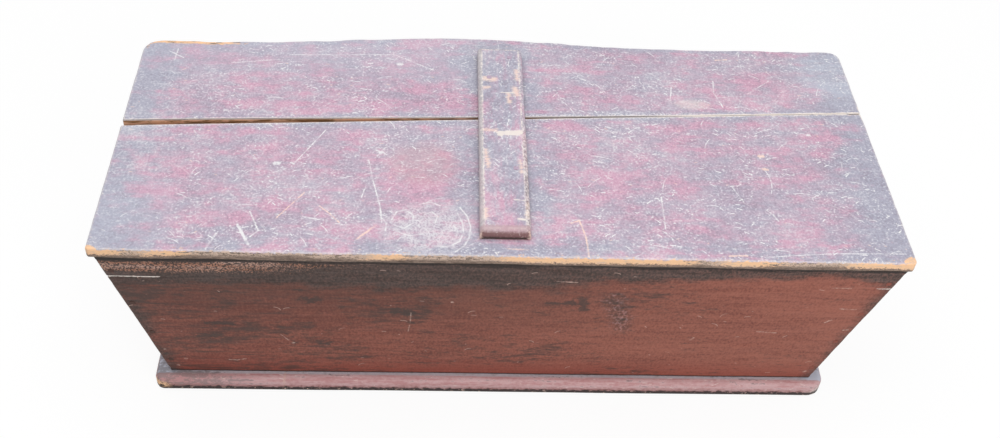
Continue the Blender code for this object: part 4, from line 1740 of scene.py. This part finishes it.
@dataclass(kw_only=True)
class Batten(CrossBar):
    """The batten on top of the lid, rubbed round along its upper edges."""

    along_pitch: float = 0.0034
    across_pitch: float = 0.0024
    edge_round: float = 0.0052
    edge_wear: float = 0.0014
    skew: float = -0.0115
    nose_radius: float = 0.0085
    nose_length: float = 0.012
    nose_blend: float = 0.004
    sharp_radius: float = 0.0006

    NAIL_COUNT = 6
    SHARP_SHARE = 0.35

    def __post_init__(self) -> None:
        """Dent the bar about each nail through it."""
        self.dents_at = self.nails("batten_nail", self.NAIL_COUNT, UP)

    def most_round(self) -> float:
        """The largest radius: that of the front end's nose."""
        return self.nose_radius

    def rounding(self, points: np.ndarray) -> np.ndarray:
        """The worn radius: round above, most at the front end, and left sharp below.

        Args:
            points: places on the board.

        Returns:
            A radius for each.
        """
        nose = np.clip((self.nose_length - points[:, 0]) / self.nose_blend, 0.0, 1.0)
        radius = super().rounding(points)
        above = points[:, 2] > self.thickness * self.SHARP_SHARE
        return np.where(above, radius + (self.nose_radius - radius) * nose, self.sharp_radius)

    def bare(self, points: np.ndarray) -> np.ndarray:
        """The underside is bare."""
        return (points[:, 2] < ON_FACE).astype(float)


@dataclass(kw_only=True)
class Cleat(CrossBar):
    """A bare bar under one end of the lid."""

    edge_round: float = 0.0016

    NAIL_COUNT = 4

    def relief(self, points: np.ndarray) -> np.ndarray:
        """How deep the surface lies, with a dent about each nail's head below.

        Args:
            points: places on the board.

        Returns:
            A depth for each.
        """
        heads = self.nails(f"{self.node}_nail", self.NAIL_COUNT, -UP)
        under = points[:, 2] < self.thickness / 2
        return super().relief(points) + under * self.nail_dents(points, heads)


@dataclass(kw_only=True)
class Wall(Board):
    """One flared wall: x along it, y up it, and z from its inner face out."""

    facing: Facing
    centre: np.ndarray
    foot_out: float
    along_pitch: float = 0.0054
    cracks: tuple[Stroke, ...] = ()
    sharp_band: float = 0.006
    sharp_radius: float = 0.0005

    CRACK_LINES = (-0.004, -0.002, -0.001, -0.0004, 0.0004, 0.001, 0.002, 0.004)
    CRACK_DEPTH = 0.0013
    CRACK_SLOPE = 1.5
    SHOULDER_STEP = 0.0001
    CORNER_WEAR = 0.7
    BARE_EDGE = 0.75

    def shrink(self, height: np.ndarray) -> np.ndarray:
        """The wall's length at a height above its foot, as a share of its length at the top."""
        return 1.0 - 2 * (self.width - height) * FLARE_TAN / self.length

    def own(self, place: Vector) -> Place:
        """A place in the wall's own axes.

        Args:
            place: the place in the frame.

        Returns:
            How far along and how far up the wall it lies.
        """
        height = place.z - self.centre[2]
        along = float(np.dot(np.array(place) - self.centre, self.facing.along))
        return self.length / 2 + along / float(self.shrink(np.array(height))), height

    def fine_lines(self, axis: int) -> list[float]:
        """Further lattice lines about the nails, the cracks and the rabbets.

        Args:
            axis: 0 along the wall and 1 up it.

        Returns:
            Where they lie.
        """
        lines = super().fine_lines(axis)
        if axis == 0 and self.facing.is_side:
            for shoulder in (RABBET_REACH, self.length - RABBET_REACH):
                lines += [shoulder - self.SHOULDER_STEP, shoulder + self.SHOULDER_STEP]
        if axis == 1:
            lines += [crack.places[0][1] + step for crack in self.cracks for step in self.CRACK_LINES]
        return lines

    def rounding(self, points: np.ndarray) -> np.ndarray:
        """The worn radius: round along the slanted corners, and sharp at the foot and the top."""
        sharp = np.minimum(points[:, 1], self.width - points[:, 1]) < self.sharp_band
        return np.where(sharp, self.sharp_radius, super().rounding(points) * self.CORNER_WEAR)

    def relief(self, points: np.ndarray) -> np.ndarray:
        """How deep the surface lies, with the cracks that run in from the wall's ends.

        Args:
            points: places on the board.

        Returns:
            A depth for each.
        """
        depth = super().relief(points)
        outer = points[:, 2] > self.thickness / 2
        along = points[:, 0] - self.length / 2
        for crack in self.cracks:
            (start, low), (end, high) = crack.places[0], crack.places[-1]
            share = np.clip((along - start) / (end - start), 0.0, 1.0)
            off = np.abs(points[:, 1] - (low + (high - low) * share)) / crack.width
            inside = (along > min(start, end)) & (along < max(start, end))
            opened = np.clip(self.CRACK_SLOPE - self.CRACK_SLOPE * off, 0.0, 1.0)
            depth += outer * inside * self.CRACK_DEPTH * opened
        return depth

    def placed(self, points: np.ndarray) -> np.ndarray:
        """Place the points in the frame, leaning out, with the rabbets cut.

        Args:
            points: places on the board.

        Returns:
            Their places in the frame.
        """
        along, up, through = points.T
        if self.facing.is_side:
            cut = np.minimum(along, self.length - along) < RABBET_REACH
            left = self.thickness - RABBET_DEPTH
            through = np.where(cut, RABBET_DEPTH + through * left / self.thickness, through)
        out = self.foot_out + up * FLARE_TAN - (self.thickness - through) / FLARE_COS
        level = np.outer((along - self.length / 2) * self.shrink(up), self.facing.along)
        return self.centre + level + np.outer(out, self.facing.outward) + np.outer(up, UP)

    def grain(self, points: np.ndarray) -> np.ndarray:
        """Along the wall from its middle, up from its foot, and out from its inner face."""
        along = (points[:, 0] - self.length / 2) * self.shrink(points[:, 1])
        return np.stack((along, points[:, 1], points[:, 2]), axis=1)

    def bare(self, points: np.ndarray) -> np.ndarray:
        """The inner face, the foot and the top edge are bare.

        Args:
            points: places on the sawn board.

        Returns:
            1 for each bare one and 0 for each painted one.
        """
        inner = points[:, 2] < ON_FACE
        edges = (points[:, 1] < ON_FACE) | (points[:, 1] > self.width - ON_FACE)
        return (inner | (edges & (points[:, 2] < self.thickness * self.BARE_EDGE))).astype(float)


@dataclass
class Walls:
    """The four flared walls."""

    height: float
    mouth_length: float
    mouth_depth: float
    centre: np.ndarray

    NAILS_PER_CORNER = 4
    FIRST_SEED = 500
    SEED_STEP = 20

    @classmethod
    def from_frame(cls) -> "Walls":
        """Take the walls' sizes from the frame.

        Returns:
            The walls.
        """
        front_low, front_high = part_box("front_wall")
        back_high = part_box("back_wall")[1]
        depth = back_high.y - front_low.y
        centre = np.array((0.0, (back_high.y + front_low.y) / 2, front_low.z))
        return cls(front_high.z - front_low.z, front_high.x - front_low.x, depth, centre)

    def wall(self, facing: Facing, seed: int) -> Wall:
        """One wall.

        Args:
            facing: the way that it faces.
            seed: what its wear is drawn from.

        Returns:
            The wall, with a dent for each nail head in it.
        """
        length, between = self.mouth_length, self.mouth_depth
        if not facing.is_side:
            let_in = 2 * (WALL_THICKNESS - RABBET_DEPTH + FIT_GAP) / FLARE_COS
            length, between = self.mouth_depth - let_in, self.mouth_length
        place = {"facing": facing, "centre": self.centre, "foot_out": between / 2 - self.height * FLARE_TAN}
        made = Wall(facing.node, Body.BOX, Slot.WALL, seed, length, self.height, WALL_THICKNESS, **place)
        if facing.is_side:
            lean = Vector(facing.outward) * FLARE_COS - UP * math.sin(WALL_FLARE)
            made.dents_at = [made.own(nail_head(name, lean)) for name in self.corner_nails(facing)]
        if facing is Facing.FRONT:
            made.cracks = WallPaint.CRACKS
        return made

    def corner_nails(self, facing: Facing) -> list[str]:
        """The nails through a front or back wall.

        Args:
            facing: the way that the wall faces.

        Returns:
            Their nodes.
        """
        side = facing.name.lower()
        numbers = range(1, self.NAILS_PER_CORNER + 1)
        return [f"{side}_{end}_corner_nail_{number}" for end in ("left", "right") for number in numbers]

    def build(self, front: bpy.types.Material, others: bpy.types.Material) -> None:
        """Make the four walls.

        Args:
            front: the front wall's finish.
            others: the finish of the other three.
        """
        for number, facing in enumerate(Facing):
            wall = self.wall(facing, self.FIRST_SEED + self.SEED_STEP * number)
            wall.build(front if facing is Facing.FRONT else others)


@dataclass(kw_only=True)
class Base(Board):
    """The round-nosed base board."""

    low: Vector
    along_pitch: float = 0.0055
    across_pitch: float = 0.004
    edge_round: float = 0.009
    left_radius: float = 0.014
    right_radius: float = 0.024
    foot_radius: float = 0.0045
    walls_inset: float = 0.030

    SEED = 700
    FOOT_SHARE = 0.45

    @classmethod
    def from_frame(cls) -> "Base":
        """The base at its node's place."""
        low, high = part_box("base_board")
        return cls("base_board", Body.BOX, Slot.BASE, cls.SEED, *(high - low), low=low)

    def rounding(self, points: np.ndarray) -> np.ndarray:
        """The worn radius: a broad round above and a smaller one below."""
        above = points[:, 2] > self.thickness * self.FOOT_SHARE
        return np.where(above, super().rounding(points), self.foot_radius)

    def rounded(self, points: np.ndarray) -> np.ndarray:
        """Round off the nose, and the corners in plan.

        Args:
            points: places on the sawn board.

        Returns:
            The places that they move to.
        """
        done = super().rounded(points)
        for end, radius in ((0.0, self.left_radius), (self.length, self.right_radius)):
            for side in (0.0, self.width):
                done = round_corner(done, (end, side), radius)
        return done

    def placed(self, points: np.ndarray) -> np.ndarray:
        """The points in the frame."""
        return points + self.low

    def grain(self, points: np.ndarray) -> np.ndarray:
        """Along the base from its middle, back from its front edge, and up from the floor."""
        return points - (self.length / 2, 0.0, 0.0)

    def bare(self, points: np.ndarray) -> np.ndarray:
        """The underside, and the floor inside the walls, are bare."""
        inside = np.minimum(points[:, :2], self.size[:2] - points[:, :2]).min(axis=1) > self.walls_inset
        return ((points[:, 2] < ON_FACE) | inside).astype(float)


def nail_head(node: str, outward: Vector) -> Vector:
    """The middle of a nail's head.

    Args:
        node: the nail's node.
        outward: the way that its head faces.

    Returns:
        The place in the frame.
    """
    corners = np.array([vertex.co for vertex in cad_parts[node].data.vertices])
    height = corners @ np.array(outward.normalized())
    return Vector(corners[height > height.max() - HEAD_DEPTH].mean(axis=0))


class Nails:
    """The nails, which keep their nodes and take a finish each by where they are."""

    FINISHES = {
        "left_corner_nail": NailIron("sooty_corner_nail", NAIL_SOOT, 0.95),
        "right_corner_nail": NailIron("painted_corner_nail", NAIL_RED, 0.95),
        "batten_nail": NailIron("painted_batten_nail", LILAC, 0.8),
        "base_nail": NailIron("rusty_base_nail", TAN_WOOD, 0.1),
        "cleat_nail": NailIron("rusty_cleat_nail", HONEY_PINE, 0.1),
    }

    def dress(self) -> None:
        """Give every nail its iron."""
        for kind, finish in self.FINISHES.items():
            material = finish.material()
            for node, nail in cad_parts.items():
                if kind in node:
                    nail.data.materials.clear()
                    nail.data.materials.append(material)
                    LOG.info("%s: %s", node, material.name)


@dataclass(frozen=True)
class Lamp:
    """A soft square lamp."""

    name: str
    place: Triple
    side: float
    watts: float

    def build(self, aim: Vector) -> None:
        """Hang the lamp.

        Args:
            aim: the point that it faces.
        """
        light = bpy.data.lights.new(self.name, "AREA")
        light.shape = "SQUARE"
        light.size = self.side
        light.energy = self.watts
        lamp = put(self.name, light)
        lamp.location = self.place
        lamp.rotation_euler = (aim - Vector(self.place)).to_track_quat("-Z", "Y").to_euler()


@dataclass(frozen=True)
class Studio:
    """A pale floor, soft lamps, white surroundings and the camera."""

    camera_place: Triple = (-0.1096, -1.2252, 1.3691)
    yaw: float = 0.09199
    pitch: float = -0.77481
    roll: float = 0.0850
    focal_pixels: float = 1200.89
    frame_pixels: float = 1000.0
    sensor_width: float = 36.0
    clip_start: float = 0.01
    floor_half_size: float = 14.0
    floor_colour: Colour = (0.5, 0.5, 0.5)
    floor_glow: float = 1.16
    sky_strength: float = 0.5
    shadow_share: float = 0.22
    lamp_aim: Triple = (0.0, 0.0, 0.2)
    lamps: tuple[Lamp, ...] = (
        Lamp("overhead_lamp", (-0.3, 0.1, 2.6), 2.6, 29.0),
        Lamp("front_lamp", (1.0, -2.6, 1.4), 1.6, 33.0),
    )

    def build(self) -> None:
        """Set up the floor, the light and the camera."""
        self.build_floor()
        self.build_sky()
        for lamp in self.lamps:
            lamp.build(Vector(self.lamp_aim))
        self.build_camera()
        bpy.context.scene.view_settings.view_transform = "Standard"

    def seen_directly(self, graph: Graph) -> Wire:
        """1 for what the camera sees, also in gloss or through glass, and 0 for light on the object."""
        path = graph.node("ShaderNodeLightPath", {}, {}, "Is Camera Ray")
        return path.most(path.beside("Is Glossy Ray")).most(path.beside("Is Transmission Ray"))

    def build_floor(self) -> None:
        """Lay a pale floor that keeps a soft shadow."""
        graph = Graph(bpy.data.materials.new("studio_floor"))
        lit = graph.node("ShaderNodeBsdfDiffuse", {}, {"Color": self.floor_colour})
        glow = graph.node("ShaderNodeEmission", {}, {"Color": WHITE, "Strength": self.floor_glow})
        share = self.seen_directly(graph) * (1.0 - self.shadow_share)
        graph.node_out(graph.node("ShaderNodeMixShader", {}, {0: share, 1: lit, 2: glow}))
        half = self.floor_half_size
        corners = [(-half, -half, 0.0), (half, -half, 0.0), (half, half, 0.0), (-half, half, 0.0)]
        mesh = bpy.data.meshes.new("studio_floor")
        mesh.from_pydata(corners, [], [(0, 1, 2, 3)])
        mesh.materials.append(graph.owner)
        floor = put("studio_floor", mesh)

    def build_sky(self) -> None:
        """Put up even white surroundings."""
        graph = Graph(bpy.data.worlds.new("studio"))
        bpy.context.scene.world = graph.owner
        seen = self.seen_directly(graph)
        strength = seen * (1.0 - self.sky_strength) + self.sky_strength
        sky = graph.node("ShaderNodeBackground", {}, {"Color": WHITE, "Strength": strength})
        graph.node_out(sky, "ShaderNodeOutputWorld")

    def build_camera(self) -> None:
        """Set up the camera, turned as in the photograph."""
        level_share = math.cos(self.pitch)
        level = Vector((math.cos(self.yaw), -math.sin(self.yaw), 0.0))
        ahead = Vector(
            (math.sin(self.yaw) * level_share, math.cos(self.yaw) * level_share, math.sin(self.pitch))
        )
        upright = level.cross(ahead)
        right = level * math.cos(self.roll) + upright * math.sin(self.roll)
        up = upright * math.cos(self.roll) - level * math.sin(self.roll)
        data = bpy.data.cameras.new("camera")
        data.sensor_width = self.sensor_width
        data.lens = self.focal_pixels / self.frame_pixels * self.sensor_width
        data.clip_start = self.clip_start
        camera = put("camera", data)
        turn = Matrix((right, up, -ahead)).transposed().to_4x4()
        camera.matrix_world = Matrix.Translation(self.camera_place) @ turn
        bpy.context.scene.camera = camera


def main() -> None:
    """Dress the box and set up the studio."""
    logging.basicConfig(level=logging.INFO, format="%(message)s")
    Studio().build()
    Base.from_frame().build(BasePaint("worn_base_paint").material())
    front = WallPaint("worn_front_paint", True).material()
    others = WallPaint("worn_wall_paint", False).material()
    Walls.from_frame().build(front, others)
    paint = LidPaint("worn_lid_paint").material()
    batten = BattenPaint("worn_batten_paint").material()
    wood = BarePine("aged_pine").material()
    Lid.from_frame().build(paint, batten, wood)
    Nails().dress()


if __name__ == "__main__":
    main()
